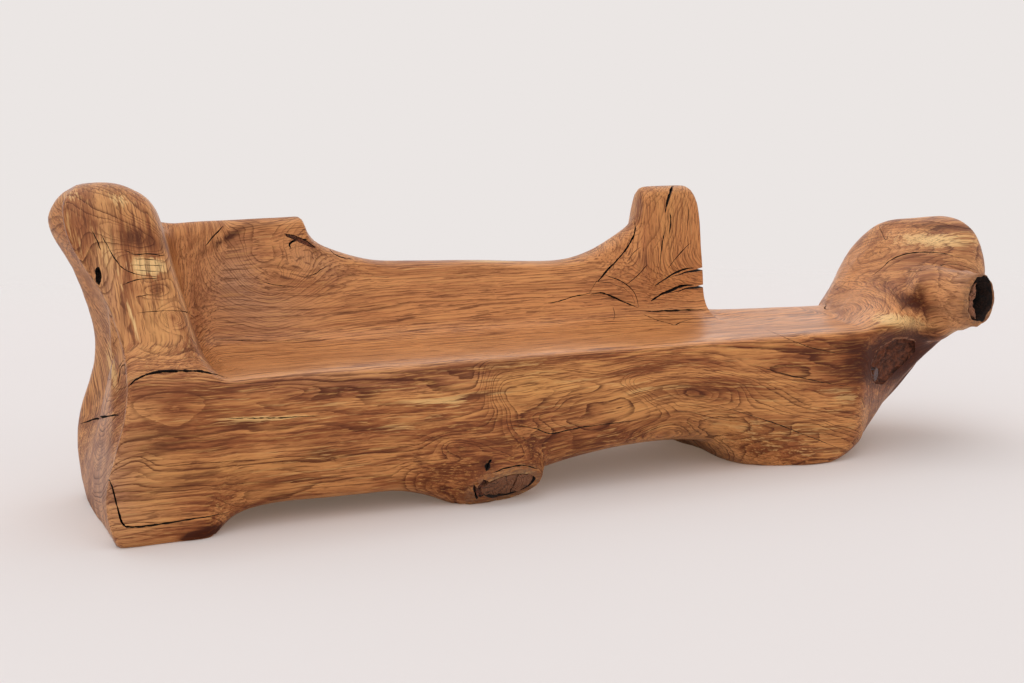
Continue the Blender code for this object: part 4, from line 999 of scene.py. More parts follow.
GREY = [
    (236, 276, 26, 30, 0, 1.0), (100, 480, 26, 50, 0, 0.9), (960, 300, 22, 34, 0, 0.6),
    (300, 375, 120, 16, -3, 0.35), (420, 375, 90, 14, -3, 0.35), (955, 215, 30, 10, 0, 0.4),
    (105, 310, 14, 80, 0, 0.7), (268, 312, 50, 24, 0, 0.7), (316, 262, 30, 14, 20, 0.7)]
CALM = [(858, 270, 28, 42, 25, 0.8), (950, 300, 22, 26, 0, 1.0)]


def oval(pixels, row):
    """Soft oval of a row: its amount times exp(-(a^2 + b^2)), where a and b are the offsets from
    its middle along its own turned axes over its half width and half height."""
    x, y, half_width, half_height, turn, amount = row
    angle = math.radians(turn)
    across, down = pixels[:, 0] - x, pixels[:, 1] - y
    a = across * math.cos(angle) + down * math.sin(angle)
    b = down * math.cos(angle) - across * math.sin(angle)
    return amount * np.exp(-((a / half_width)**2 + (b / half_height)**2))


def pixel_mask(pixels, facing, table):
    """Sum of soft ovals drawn in the photograph's pixels, on faces turned to the camera."""
    return sum(oval(pixels, row) for row in table) * facing


def line_distance(points, start, end):
    """Distance of points from the straight line through two points."""
    start, end = np.array(start, float), np.array(end, float)
    axis = (end - start) / np.linalg.norm(end - start)
    offset = points - start
    return np.linalg.norm(offset - (offset @ axis)[:, None] * axis, axis=1)


def figure(points, normals):
    """Year rings and the way along and across the grain, in metres, at points of the wood.

    The rings are nested round the pith of the log, of the arm, of the post and of the branch,
    mixed by how near each is. Fibres flow round each knot as water does round a stake:
    the offset from it is lessened by r^2 over the squared distance. Layered noise warps the
    rings, and Gaussian hills drawn in the photograph's pixels bend them into eyes and tongues.
    """
    bent = points.copy()
    for middle, radius in KNOT_FLOWS:
        offset = points - np.array(middle)
        share = radius**2 / ((offset**2).sum(axis=1) + 0.4 * radius**2)
        bent[:, 1:] -= offset[:, 1:] * np.minimum(share, 1.2)[:, None] * 0.7
    x, y, z = points.T
    rings = line_distance(bent, *LOG_PITH)
    arm = smooth(0.36 - x + 0.25 * (z - 0.4), 0.0, 0.12) * smooth(z + 0.5 * y, 0.40, 0.56)
    arm_rings = line_distance(bent, *ARM_PITH) + 0.02
    post = smooth(x + 0.35 * (z - 0.55), 1.66, 1.86) * smooth(2.12 - x, 0, 0.05)
    post = post * smooth(z, 0.44, 0.62)
    post_rings = line_distance(bent, *POST_PITH) + 0.1
    across, upward, out = to_frame(stub_place(), points)
    radius = np.hypot(across, upward)
    branch = smooth(0.20 - radius + 0.25 * np.clip(out, -0.4, 0), -0.06, 0.08)
    way = ARM_GRAIN / np.linalg.norm(ARM_GRAIN)
    side = np.cross(way, (1.0, 0.0, 0.0))
    side /= np.linalg.norm(side)
    grain = bent.copy()
    for share, other_rings, other_grain in (
            (arm, arm_rings, np.stack([points @ way, points @ side + 0.3, x + 0.2], axis=1)),
            (post, post_rings, np.stack([z + 1.3, x - 1.3, y], axis=1)),
            (branch, radius * 0.4 + 0.25, np.stack([out + 2.7, across, upward + 0.4], axis=1))):
        rings = rings * (1 - share) + other_rings * share
        grain = grain * (1 - share[:, None]) + other_grain * share[:, None]
    rings += 0.012 * layered_noise(points, (1.7, 4.5, 4.5), 3, 11)
    rings += 0.0028 * layered_noise(points, (8.0, 20.0, 20.0), 2, 40)
    pixels = pixels_of(points)
    sight_line = EYE - points
    cosine = np.einsum("ij,ij->i", normals, sight_line) / np.linalg.norm(sight_line, axis=1)
    facing = smooth(cosine, 0.0, 0.25)
    shaken = pixels + 3.0 * np.stack([layered_noise(points, 9.0, 3, seed) for seed in (60, 64)], 1)
    for row in HILLS:
        rings += facing * oval(shaken, row)
    left, right, lean, level, reach, height_across = CROTCH
    place = shaken[:, 0] - lean * (shaken[:, 1] - level)
    fall = hump(shaken[:, 1] - level, reach) * hump(np.maximum(place - right, 0), 60.0)
    rings += height_across * facing * smooth(place, left, right) * fall
    rings += (1 - facing) * 0.016 * layered_noise(points, (2.5, 9.0, 9.0), 3, 90)
    return rings, grain, pixels, facing


def figure_values(mesh):
    """Store the rings, the ways of the grain and the masks of wood tones, painted highlights and
    shade.
    """
    points, normals = read_points(mesh), read_normals(mesh)
    rings, grain, pixels, facing = figure(points, normals)
    x, y, z = points.T
    write_values(mesh, "rings", rings)
    write_values(mesh, "grain", grain)
    behind = 1 - facing
    loose = layered_noise(points, (1.4, 5.0, 5.0), 3, 70)
    # pale and dark also hold the painted highlights and painted shade drawn in their tables
    pale = pixel_mask(pixels, facing, PALE_AND_PAINTED_HIGHLIGHTS) + behind * smooth(loose, 0.25, 0.7) * 0.6
    dark = pixel_mask(pixels, facing, DARK_AND_PAINTED_SHADE) + behind * smooth(-loose, 0.2, 0.8) * 0.6
    front = smooth(-normals[:, 1], 0.35, 0.8) * smooth(0.43 - z, 0, 0.05) * smooth(x, 0.02, 0.2)
    seat = smooth(normals[:, 2], 0.5, 0.95) * smooth(z, 0.36, 0.40) * smooth(0.50 - z, 0, 0.05)
    back = smooth(y, 0.30, 0.42) * smooth(z, 0.40, 0.44) * smooth(-normals[:, 1], 0.1, 0.5)
    calm = np.maximum(seat, back * (0.55 + 0.3 * smooth(x, 0.6, 1.1))) * (1 - front)
    calm = np.clip(calm + pixel_mask(pixels, facing, CALM), 0, 1)
    write_values(mesh, "marks", np.stack([pale, dark, calm], axis=1))
    golden = pixel_mask(pixels, facing, GOLDEN)
    grey = pixel_mask(pixels, facing, GREY) + behind * smooth(loose, -0.2, 0.5) * 0.3
    across, upward, out = to_frame(stub_place(), points)
    rim = hump(out, 0.022) * smooth(0.13 - np.hypot(across, upward), 0, 0.02)
    across, upward, out = to_frame(knot_place(), points)
    rim = np.maximum(rim, hump(out, 0.012) * smooth(1.5 - np.hypot(
        across / KNOT_HALF_WIDTH, upward / KNOT_HALF_HEIGHT), 0, 0.2))
    write_values(mesh, "tint", np.stack([golden, grey, rim], axis=1))
    write_values(mesh, "worked", np.stack([front, seat, back], axis=1))


# ---------------------------------------------------------------- shader trees

class Value:
    """One socket of a shader tree that takes part in sums like a number."""

    def __init__(self, tree, socket):
        self.tree = tree
        self.socket = socket

    def maths(self, operation, *others):
        return self.tree.maths(operation, self, *others)

    def __add__(self, other):
        return self.maths("ADD", other)

    __radd__ = __add__

    def __mul__(self, other):
        return self.maths("MULTIPLY", other)

    __rmul__ = __mul__

    def __sub__(self, other):
        return self.maths("SUBTRACT", other)

    def __rsub__(self, other):
        return self.tree.maths("SUBTRACT", other, self)

    def __pow__(self, other):
        return self.maths("POWER", other)


class Tree:
    """Shader tree of one material."""

    def __init__(self, name):
        self.material = bpy.data.materials.new(name)
        self.material.use_nodes = True
        self.nodes = self.material.node_tree.nodes
        self.links = self.material.node_tree.links
        self.shader = self.nodes["Principled BSDF"]

    def feed(self, socket, value):
        """Link a value to a socket, or set the socket to a number or colour."""
        if isinstance(value, Value):
            self.links.new(value.socket, socket)
        elif value is not None:
            socket.default_value = value

    def add(self, kind, settings, *values, output=0, **named):
        """New node with its settings, then the values of its sockets by order and by name."""
        node = self.nodes.new("ShaderNode" + kind)
        for name, setting in settings.items():
            setattr(node, name, setting)
        for socket, value in zip(node.inputs, values):
            self.feed(socket, value)
        for name, value in named.items():
            self.feed(node.inputs[name.replace("_", " ")], value)
        return Value(self, node.outputs[output])

    def stored(self, name, output=0):
        """Number or colour that the mesh stores for each vertex."""
        return self.add("Attribute", {"attribute_name": name}, output=output)

    def parts(self, value):
        """Red, green and blue of a colour, or the three numbers of a vector."""
        node = self.add("SeparateXYZ", {}, value)
        return [Value(self, socket) for socket in node.socket.node.outputs]

    def vector(self, x, y, z):
        return self.add("CombineXYZ", {}, x, y, z)

    def vectors(self, operation, *values):
        """Vector Math of one operation."""
        return self.add("VectorMath", {"operation": operation}, *values)

    def maths(self, operation, *values):
        return self.add("Math", {"operation": operation}, *values)

    def place(self):
        """Place on the object in metres."""
        return self.add("TexCoord", {}, output="Object")

    def noise(self, vector, scale, detail=2.0, roughness=0.5, warp=0.0, output="Fac"):
        return self.add("TexNoise", {}, Vector=vector, Scale=scale, Detail=detail,
                        Roughness=roughness, Distortion=warp, output=output)

    def line_noise(self, value, scale, detail=1.0):
        """Noise of one number."""
        return self.add("TexNoise", {"noise_dimensions": "1D"}, W=value, Scale=scale, Detail=detail)

    def step(self, value, low, high):
        """Smooth step from 0 to 1 while the value goes from low to high."""
        return self.add("MapRange", {"interpolation_type": "SMOOTHSTEP"}, value, low, high)

    def mix(self, share, first, second):
        """Colour between two colours."""
        node = self.nodes.new("ShaderNodeMix")
        node.data_type = "RGBA"
        self.feed(node.inputs[0], share)
        self.feed(node.inputs[6], first)
        self.feed(node.inputs[7], second)
        return Value(self, node.outputs[2])

    def layered(self, colours, first, *layers):
        """Named colours laid one over another, each by its own share."""
        colour = colours[first]
        for share, name in layers:
            colour = self.mix(share, colour, colours[name])
        return colour

    def finish(self, colour, roughness, relief=None, distance=0.001, strength=1.0):
        """Feed the surface's colour, roughness and relief."""
        self.feed(self.shader.inputs["Base Color"], colour)
        self.feed(self.shader.inputs["Roughness"], roughness)
        if relief is not None:
            bump = self.add("Bump", {}, Height=relief, Distance=distance, Strength=strength)
            self.feed(self.shader.inputs["Normal"], bump)
        return self.material


def linear(red, green, blue):
    """Screen colour from 0 to 255 as the linear colour that a shader takes."""
    values = np.array([red, green, blue]) / 255
    values = np.where(values < 0.04045, values / 12.92, ((values + 0.055) / 1.055)**2.4)
    return (*values.tolist(), 1.0)


# Broad tones, streaks, fibres and patches of the wood: scale along and across the grain, detail,
# roughness and, for the last, warp
GRAIN_NOISES = ((2.4, 22.0, 4.0, 0.6), (4.5, 80.0, 4.0, 0.62), (8.0, 210.0, 3.0, 0.7),
                (4.0, 14.0, 3.0, 0.6, 0.4))
# The sawn front is redder than the rest
FRONT_TINT = (1.0, 0.93, 0.82)


def wood_material(name, colours):
    """Oiled wood: each ring darkens outward to a late line; streaks run along the grain."""
    tree = Tree(name)
    place = tree.place()
    rings = tree.stored("rings", "Fac")
    # pale and dark hold painted highlights and painted shade as well as sapwood and dark wood
    pale, dark, calm = tree.parts(tree.stored("marks", "Vector"))
    golden, grey, rim = tree.parts(tree.stored("tint", "Vector"))
    front, seat, _ = tree.parts(tree.stored("worked", "Vector"))
    grain = tree.vectors("MULTIPLY_ADD", tree.noise(place, 6.0, 3.0, output="Color"),
                         (0.0, 0.016, 0.016), tree.stored("grain", "Vector"))
    broad, streak, fibre, patch = (
        tree.noise(tree.vectors("MULTIPLY", grain, (length, across, across)), 1.0, *rest)
        for length, across, *rest in GRAIN_NOISES)
    streak_off, fibre_off, patch_off = streak - 0.5, fibre - 0.5, patch - 0.5
    rings = rings + streak_off * 0.006 + fibre_off * 0.0015
    wide = tree.maths("FRACT", rings * 96.0 + tree.line_noise(rings, 26.0, 2.0) * 2.4)
    strength = tree.step(tree.line_noise(rings + 3.0, 75.0, 1.0), 0.32, 0.66)
    late = tree.step(wide, 0.60, 0.95) * (1.0 - tree.step(wide, 0.965, 1.0)) * (strength * 0.7 + 0.3)
    late = late * tree.step(patch + fibre_off * 0.6 - pale * 0.2, 0.28, 0.48)
    tone = broad + (wide - 0.5) * 0.08 + patch_off * 0.3 + dark * 0.16 + front * 0.05 - golden * 0.10
    umber = tree.step(tone + streak_off * 0.9 + fibre_off * 0.5, 0.52, 0.68) * (1.0 - calm * 0.6)
    sap = tree.step(streak * 0.6 + fibre * 0.6 + pale * 0.2 - dark * 0.1 - calm * 0.06, 0.66, 0.76)
    colour = tree.layered(
        colours, "tan",
        (tree.step(tone + streak_off * 0.5, 0.40, 0.60), "brown"),
        (calm * 0.72, "orange"),
        (tree.step(golden * 0.75 + patch_off + streak_off, 0.1, 0.8) * 0.8, "golden"),
        (grey * (0.35 + patch * 0.4), "grey"),
        (umber * (0.50 + front * 0.25), "umber"),
        # sapwood layer, which also lays the painted highlights on the back's top edge and the arm's
        # ridge
        (sap * (0.30 + front * 0.1 + pale * 0.6) * (1.0 - dark), "sap"),
        # dark wood layer; it also lays the painted shadow at the foot's base and shade by the recess
        (dark * tree.step(patch + streak + dark * 0.3, 1.05, 1.38) * 0.8, "dark"),
        (tree.step(streak, 0.48, 0.37) * (0.45 + seat * 0.4), "umber"),
        (late * (0.92 - (calm - seat) * 0.4), "line"),
        (tree.step(fibre, 0.48, 0.36) * 0.66, "line"),
        (tree.step(fibre, 0.52, 0.64) * (0.40 + front * 0.10) * (1.0 - dark * 0.6), "golden"))
    colour = tree.mix(front, colour, tree.vectors("MULTIPLY", colour, FRONT_TINT))
    weathered = tree.noise(place, 90.0, 5.0, 0.7)
    colour = tree.mix(rim * tree.step(weathered, 0.3, 0.7), colour, colours["rind"])
    roughness = 0.40 - calm * 0.06 + fibre_off * 0.2 + late * 0.08 + rim * 0.4 + dark * 0.2
    relief = (fibre * 0.5 - late * 0.5 + streak * 0.5 + tree.noise(place, 60.0, 3.0) * 0.3
              + rim * weathered * 6.0)
    tree.shader.inputs["Specular IOR Level"].default_value = 0.2
    return tree.finish(colour, roughness, relief, 0.0009, 0.7)


def crack_material(name, colours):
    """Near-black walls of a crack: partly dry wood, partly painted shade deep inside; browner in
    patches.
    """
    tree = Tree(name)
    place = tree.place()
    mottle = tree.noise(place, 60.0, 4.0, 0.7)
    colour = tree.mix(tree.step(mottle, 0.35, 0.75), colours["crack"], colours["crack_brown"])
    return tree.finish(colour, 0.9, mottle, 0.002)


def bark_material(name, colours):
    """Rough bark: dark plates with reddish seams and pale crumbs."""
    tree = Tree(name)
    place = tree.place()
    plates = tree.add("TexVoronoi", {"feature": "DISTANCE_TO_EDGE"}, Vector=place, Scale=70.0)
    coarse = tree.noise(place, 34.0, 6.0, 0.7, 0.4)
    small = tree.noise(place, 180.0, 5.0, 0.75)
    colour = tree.layered(
        colours, "bark", (tree.step(coarse, 0.35, 0.62), "bark_red"),
        (tree.step(plates, 0.03, 0.0) * 0.6, "crack"), (tree.step(small, 0.6, 0.8) * 0.5, "rind"))
    relief = coarse * 2.0 + small + tree.step(plates, 0.0, 0.08)
    return tree.finish(colour, 0.85, relief, 0.003)


def dead_wood_material(name, colours, tint):
    """Sawn dry wood: rings round the branch's middle, radial checks and grey bloom."""
    tree = Tree(name)
    place = tree.place()
    radius = tree.stored("radius", "Fac")
    spoke_x, spoke_y, depth = tree.parts(tree.stored("spoke", "Vector"))
    wobble = tree.noise(place, 30.0, 4.0)
    ring = tree.line_noise(radius + (wobble - 0.5) * 0.012, 330.0, 2.0)
    ray = tree.noise(tree.vector(spoke_x * 4.0, spoke_y * 4.0, radius * 14.0 + depth), 1.0, 3.0, 0.7)
    speck = tree.noise(place, 160.0, 4.0, 0.7)
    colour = tree.layered(
        colours, tint, (tree.step(ring, 0.35, 0.7), "umber"),
        (tree.step(ray, 0.52, 0.66) * 0.75, "crack"), (tree.step(speck, 0.5, 0.75) * 0.45, "rind"))
    relief = ring * 0.6 - tree.step(ray, 0.5, 0.75) * 1.6 + speck
    return tree.finish(colour, 0.8, relief, 0.002)


# ---------------------------------------------------------------- the pieces

def joined(name, *meshes):
    """One mesh of several that don't touch."""
    bm = bmesh.new()
    for mesh in meshes:
        bm.from_mesh(mesh)
    whole = bpy.data.meshes.new(name)
    bm.to_mesh(whole)
    bm.free()
    return whole


def shaded(mesh, sharp_degrees):
    """Smooth shading with sharp edges past an angle."""
    mesh.polygons.foreach_set("use_smooth", np.ones(len(mesh.polygons), bool))
    mesh.set_sharp_from_angle(angle=math.radians(sharp_degrees))


# How far one round moves a point toward its neighbours' mean
RELAXING = 0.6
# Height over the skin from which it is probed, and how far down
PROBE_HEIGHT = 0.12
PROBE_REACH = 0.4
# Angle between faces, in degrees, past which an edge stays sharp
WOOD_SHARP = 38
DEAD_WOOD_SHARP = 40
POCKET_SHARP = 50
BARK_SHARP = 60
# Worn sawn rims, how much wider the rotten hollow is than the solid's, the gap round the split
# piece, and the points of its outline
RIM_ROUGHNESS = 0.0035
HOLLOW_GROWTH = 1.13
PATCH_GAP = 0.0012
PATCH_POINTS = 144


def grown_in(trunk, branch, place, width, rounds, end_clear):
    """Join a branch to the trunk and let the skin flow over the seam between them, but not near
    the sawn end."""
    boolean(trunk, new_object("branch", branch, bpy.data.materials["grown"]), "UNION")
    mesh = trunk.data
    low, high = edge_materials(mesh)
    ends = edge_ends(mesh)
    points = read_points(mesh)
    far = nearest(points, points[np.unique(ends[low != high])])
    out = to_frame(place, points)[2]
    near = np.where(far < 2.2 * width, hump(far, width), 0)
    strength = RELAXING * near * smooth(-out, end_clear, 2 * end_clear)
    write_points(mesh, relaxed(points, ends, strength, rounds))
    mesh.polygons.foreach_set("material_index", np.zeros(len(mesh.polygons), int))
    mesh.materials.clear()
    mesh.materials.append(bpy.data.materials["skin"])


def stub_rough(grid, share):
    """Uneven bark-like swelling of the sawn branch, with a worn rim and a raised collar."""
    lumps = 0.004 * layered_noise(grid, 9.0, 4, 21)
    rim = RIM_ROUGHNESS * layered_noise(grid, 30.0, 3, 23) * hump(share, 0.08)
    collar = 0.006 * hump(share - 0.20, 0.045) * (0.6 + layered_noise(grid, 16.0, 2, 25))
    return lumps + rim + collar - 0.004 * hump(share, 0.012)


def knot_rough(grid, share):
    """Uneven swelling of the dead branch's collar."""
    lumps = 0.005 * layered_noise(grid, 14.0, 4, 31) * smooth(share, 0.0, 0.15)
    return lumps + 0.0015 * layered_noise(grid, 50.0, 3, 33) - 0.003 * hump(share, 0.015)


def blank_mesh():
    """The trunk's fine skin with both branches grown in, before anything is cut from it."""
    kept = bpy.data.meshes.get("trunk_blank")
    if kept:
        return kept
    grid = fine_grid(*SKIN_COUNTS)
    grid[..., 2] = np.maximum(grid[..., 2], 0.0)
    for name in ("skin", "grown"):
        bpy.data.materials.new(name)
    trunk = new_object("blank", closed_loft("blank", grid, (CAGE[0, 0], CAGE[-1, 0])),
                       bpy.data.materials["skin"])
    points = read_points(trunk.data)
    edge = hump(points[:, 0] - along(POST_RIGHT_SHARE), 0.035) * smooth(points[:, 2], 0.3, 0.4)
    strength = RELAXING * edge * (edge > 0.05)
    write_points(trunk.data, relaxed(points, edge_ends(trunk.data), strength, 14))
    stub = branch_mesh("stub", stub_place(), STUB_RADIUS, STUB_RADIUS, STUB_REACH, STUB_FLARE_SHARES,
                       40, stub_rough)
    grown_in(trunk, stub, stub_place(), 0.03, 40, 0.03)
    knot = branch_mesh("knot", knot_place(), KNOT_HALF_WIDTH, KNOT_HALF_HEIGHT, KNOT_REACH,
                       KNOT_FLARE_SHARES, 34, knot_rough)
    grown_in(trunk, knot, knot_place(), 0.018, 20, 0.004)
    mesh = trunk.data
    points, normals = read_points(mesh), read_normals(mesh)
    uneven = 0.0016 * layered_noise(points, (3.0, 9.0, 9.0), 3, 3)
    uneven += 0.0005 * layered_noise(points, (9.0, 45.0, 45.0), 2, 5)
    points += normals * uneven[:, None]
    points[:, 2] = np.maximum(points[:, 2], 0.0)
    write_points(mesh, points)
    mesh.name = "trunk_blank"
    bpy.data.objects.remove(trunk)
    mesh.use_fake_user = True
    return mesh


def skin_tree(mesh):
    """Search tree over a mesh's faces."""
    bm = bmesh.new()
    bm.from_mesh(mesh)
    tree = BVHTree.FromBMesh(bm)
    bm.free()
    return tree


def skin_heights(tree, place, reach, count=13):
    """Function that reads how far out the skin stands in a local frame, from a grid of probes."""
    marks = np.linspace(-reach, reach, count)
    across, upward = np.meshgrid(marks, marks, indexing="ij")
    starts = from_frame(place, across, upward, np.full(across.shape, PROBE_HEIGHT)) + TRUNK_SHIFT
    aim = Vector(-place[3])
    hits = [tree.ray_cast(Vector(start), aim, PROBE_REACH)[3] for start in starts.reshape(-1, 3)]
    outs = np.array([PROBE_HEIGHT - (PROBE_HEIGHT if far is None else far) for far in hits])
    outs = outs.reshape(across.shape)

    def read(across, upward):
        last = count - 1
        u = np.clip((np.asarray(across) + reach) / (2 * reach) * last, 0, last - 0.001)
        v = np.clip((np.asarray(upward) + reach) / (2 * reach) * last, 0, last - 0.001)
        i, j = u.astype(int), v.astype(int)
        s, t = u - i, v - j
        return (outs[i, j] * (1 - s) * (1 - t) + outs[i + 1, j] * s * (1 - t)
                + outs[i, j + 1] * (1 - s) * t + outs[i + 1, j + 1] * s * t)
    return read


def oval_edge(half_width, half_height, rough, sides=84):
    """Ellipse whose radius wavers round it."""
    angle = np.linspace(0, 2 * math.pi, sides, endpoint=False)
    wave = 1 + rough * noise_at(np.cos(angle) * 2.2 + half_width * 50, np.sin(angle) * 2.2, 0, 4)
    return half_width * np.cos(angle) * wave, half_height * np.sin(angle) * wave


def level_at(out):
    """Function of the place that gives one level everywhere."""
    return lambda across, upward: np.full(np.shape(across), out)


def lumpy(level, lumps, scale, upward_scale, shift, layers, seed):
    """Function of the place that gives a level with lumps of some height: the level is a number
    or itself a function of the place."""
    def read(across, upward):
        base = level(across, upward) - lumps if callable(level) else level
        return base + lumps * noise_at(across * scale, upward * upward_scale, shift, layers, seed)
    return read


def plug(name, place, edge, low, top, ring_count=22, walls=6):
    """Closed body in a local frame: an underside and a top of outlines nested in its edge, whose
    heights are functions of the place, joined by an upright wall."""
    shares = np.linspace(1, 0, ring_count + 1)[:-1, None]
    across, upward = edge[0][None] * shares, edge[1][None] * shares
    above, below = top(across, upward), low(across, upward)
    rise = np.linspace(0, 1, walls + 2)[1:-1, None]
    wall = below[:1] + (above[:1] - below[:1]) * rise
    flat = np.ones((walls, 1))
    grid = np.concatenate([
        from_frame(place, across[::-1], upward[::-1], below[::-1]),
        from_frame(place, across[:1] * flat, upward[:1] * flat, wall),
        from_frame(place, across, upward, above)])
    middle = np.zeros(1)
    return closed_loft(name, grid, [from_frame(place, middle, middle, level(middle, middle))[0]
                                    for level in (low, top)])


def patch_edge(gap):
    """Uneven outline of the split piece at the foot of the post, grown by a gap."""
    outline = np.array(PATCH_OUTLINE_SHARES) * (PATCH_HALF_LENGTH + gap, PATCH_HALF_HEIGHT + gap)
    padded = np.concatenate([outline, outline[:1]])
    run = np.concatenate([[0.0], np.cumsum(np.linalg.norm(np.diff(padded, axis=0), axis=1))])
    places = np.linspace(0, run[-1], PATCH_POINTS, endpoint=False)
    return [np.interp(places, run, padded[:, k]) + 0.0016 * noise_at(
        places / run[-1] * 24, shift, 0, 3, 7) for k, shift in enumerate((0, 5))]


def patch_prism(gap):
    """The split piece's outline carried from its underside out past the skin."""
    out = np.linspace(-PATCH_DEPTH - gap, OVERRUN, 6)[:, None] * np.ones((1, PATCH_POINTS))
    across, upward = (np.broadcast_to(row, out.shape) for row in patch_edge(gap))
    place = skin_place(PATCH_AT_SHARES, PATCH_TURN)
    return closed_loft("patch_outline", from_frame(place, across, upward, out))


def polar_values(mesh, place):
    """Store how far each vertex stands from a branch's axis, and its direction round it."""
    across, upward, out = to_frame(place, read_points(mesh))
    radius = np.hypot(across, upward)
    write_values(mesh, "radius", radius)
    safe = np.maximum(radius, 0.001)
    write_values(mesh, "spoke", np.stack([across / safe, upward / safe, out * 20], axis=1))


def knot_sizes():
    """Half sizes of the dead knot's face, and the middle and half sizes of the pocket in it."""
    wide, high = KNOT_HALF_WIDTH - KNOT_RIM, KNOT_HALF_HEIGHT - KNOT_RIM
    left, up, wide_share, high_share = BARK_POCKET_SHARES
    return wide, high, -wide * left, high * up, wide * wide_share, high * high_share


def moved(place, across, upward):
    """Local frame moved along its own face."""
    origin, first, second, third = place
    return origin + first * across + second * upward, first, second, third


def build_trunk(sizes, colours):
    """Cut every crack, pit and hollow from the blank, then store the figure of the wood."""
    tree = skin_tree(blank_mesh())
    wood = wood_material("oiled_wood", colours)
    # crack and hollow walls are near-black: partly their dark wood, partly painted shade deep inside
    crack = crack_material("dry_crack", colours)
    inner = bark_material("hollow_wall", dict(colours, bark=colours["crack"],
                                              bark_red=colours["crack_brown"]))
    bark = bark_material("recess_wall", colours)
    trunk = new_object("dressed_trunk", blank_mesh().copy())
    trunk.data.materials.clear()
    trunk.data.materials.append(wood)
    wide, high, pocket_across, pocket_up, pocket_wide, pocket_high = knot_sizes()
    hollow_radius = (STUB_RADIUS - STUB_WALL) * HOLLOW_GROWTH
    pits = joined(
        "pits",
        pit_tool("hollow", stub_place(), hollow_radius, hollow_radius, -STUB_HOLLOW_DEPTH, 0.14),
        pit_tool("socket", knot_place(), wide, high, -KNOT_PLUG_DEPTH, 0.05),
        pit_tool("notch", skin_place(NOTCH_AT_SHARES, NOTCH_TURN), NOTCH_HALF_LENGTH,
                 NOTCH_HALF_HEIGHT * 0.6, -NOTCH_DEPTH, 0.3),
        pit_tool("hole", skin_place(ARM_HOLE_AT_SHARES), ARM_HOLE_HALF_WIDTH, ARM_HOLE_HALF_HEIGHT,
                 -ARM_HOLE_DEPTH, 0.2))
    recess = oval_pit("recess", skin_place(RECESS_AT_SHARES, RECESS_TURN), RECESS_HALF_LENGTH,
                      RECESS_HALF_HEIGHT, RECESS_DEPTH, 0.10)
    sockets = joined(
        "sockets", patch_prism(CLEARANCE),
        pit_tool("pocket", moved(knot_place(), pocket_across, pocket_up), pocket_wide, pocket_high,
                 -KNOT_PLUG_DEPTH, 0.1),
        pit_tool("small", skin_place(SMALL_KNOT_AT_SHARES), SMALL_KNOT_RADIUS, SMALL_KNOT_RADIUS,
                 -SMALL_KNOT_DEPTH, 0.03))
    splits = joined("splits", *map(split_tool, SPLIT_LEVEL_SHARES, SPLIT_TURNS))
    for mesh, wall in ((pits, inner), (recess, bark), (sockets, inner), (splits, crack)):
        boolean(trunk, new_object("cutter", mesh, wall), "DIFFERENCE")
    for group in range(CRACK_GROUPS):
        cut_cracks(trunk, tree, cracks_of(group), sizes, crack)
    shaded(trunk.data, WOOD_SHARP)
    figure_values(trunk.data)
    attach(trunk, "root")
    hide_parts("carved_trunk")


def build_patch(sizes, colours):
    """The split piece at the post's foot: the skin inside its outline, cut by the cracks."""
    tree = skin_tree(blank_mesh())
    place = skin_place(PATCH_AT_SHARES, PATCH_TURN)
    mesh = plug("patch", place, patch_edge(-PATCH_GAP), level_at(CLEARANCE - PATCH_DEPTH),
                skin_heights(tree, place, 0.11, 45), 60)
    piece = new_object("dressed_patch", mesh, bpy.data.materials["oiled_wood"])
    # its cracks get the same near-black walls, partly painted shade deep inside
    for group in range(1, CRACK_GROUPS):
        cut_cracks(piece, tree, cracks_of(group, "patch"), sizes, bpy.data.materials["dry_crack"])
    shaded(piece.data, WOOD_SHARP)
    figure_values(piece.data)
    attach(piece, "root")
    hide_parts("post_patch")


def build_heart(colours):
    """Crescent of dead heartwood that stands inside the hollow branch."""
    place = stub_place()
    inner_radius = STUB_RADIUS - STUB_WALL
    edge = oval_edge(inner_radius * 0.97, inner_radius * 0.97, 0.06)
    mesh = plug("heart", place, edge, level_at(CLEARANCE - STUB_HOLLOW_DEPTH),
                lumpy(0.008 - HEART_RECESS, 0.006, 60, 60, 0, 4, 51), 34)
    material = dead_wood_material("dead_heart", colours, "heart")
    piece = new_object("dressed_heart", mesh, material)
    bite_radius = inner_radius / HEART_BITE_SHARE
    bite = pit_tool("bite", moved(place, bite_radius * HEART_OFFSET_SHARE, 0.0), bite_radius,
                    bite_radius, -STUB_HOLLOW_DEPTH - OVERRUN, 0.10, sides=160)
    boolean(piece, new_object("bite", bite, material), "DIFFERENCE")
    shaded(piece.data, DEAD_WOOD_SHARP)
    polar_values(piece.data, place)
    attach(piece, "root")
    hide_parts("stub_heart")


def wavy_side(place, level, side):
    """Block whose one face is a wavering split across the dead knot, on either side of it."""
    run = np.linspace(-0.12, 0.12, 60)
    wave = level + 0.004 * noise_at(run * 40, 3, 0, 3, 61)
    far = np.full(len(run), level + side * 0.4)
    across = np.stack([wave, far, far, wave], axis=1)
    upward = np.repeat(run[:, None], 4, axis=1)
    out = np.broadcast_to(np.array([0.1, 0.1, -0.1, -0.1]), across.shape)
    return closed_loft("side", from_frame(place, across, upward, out))


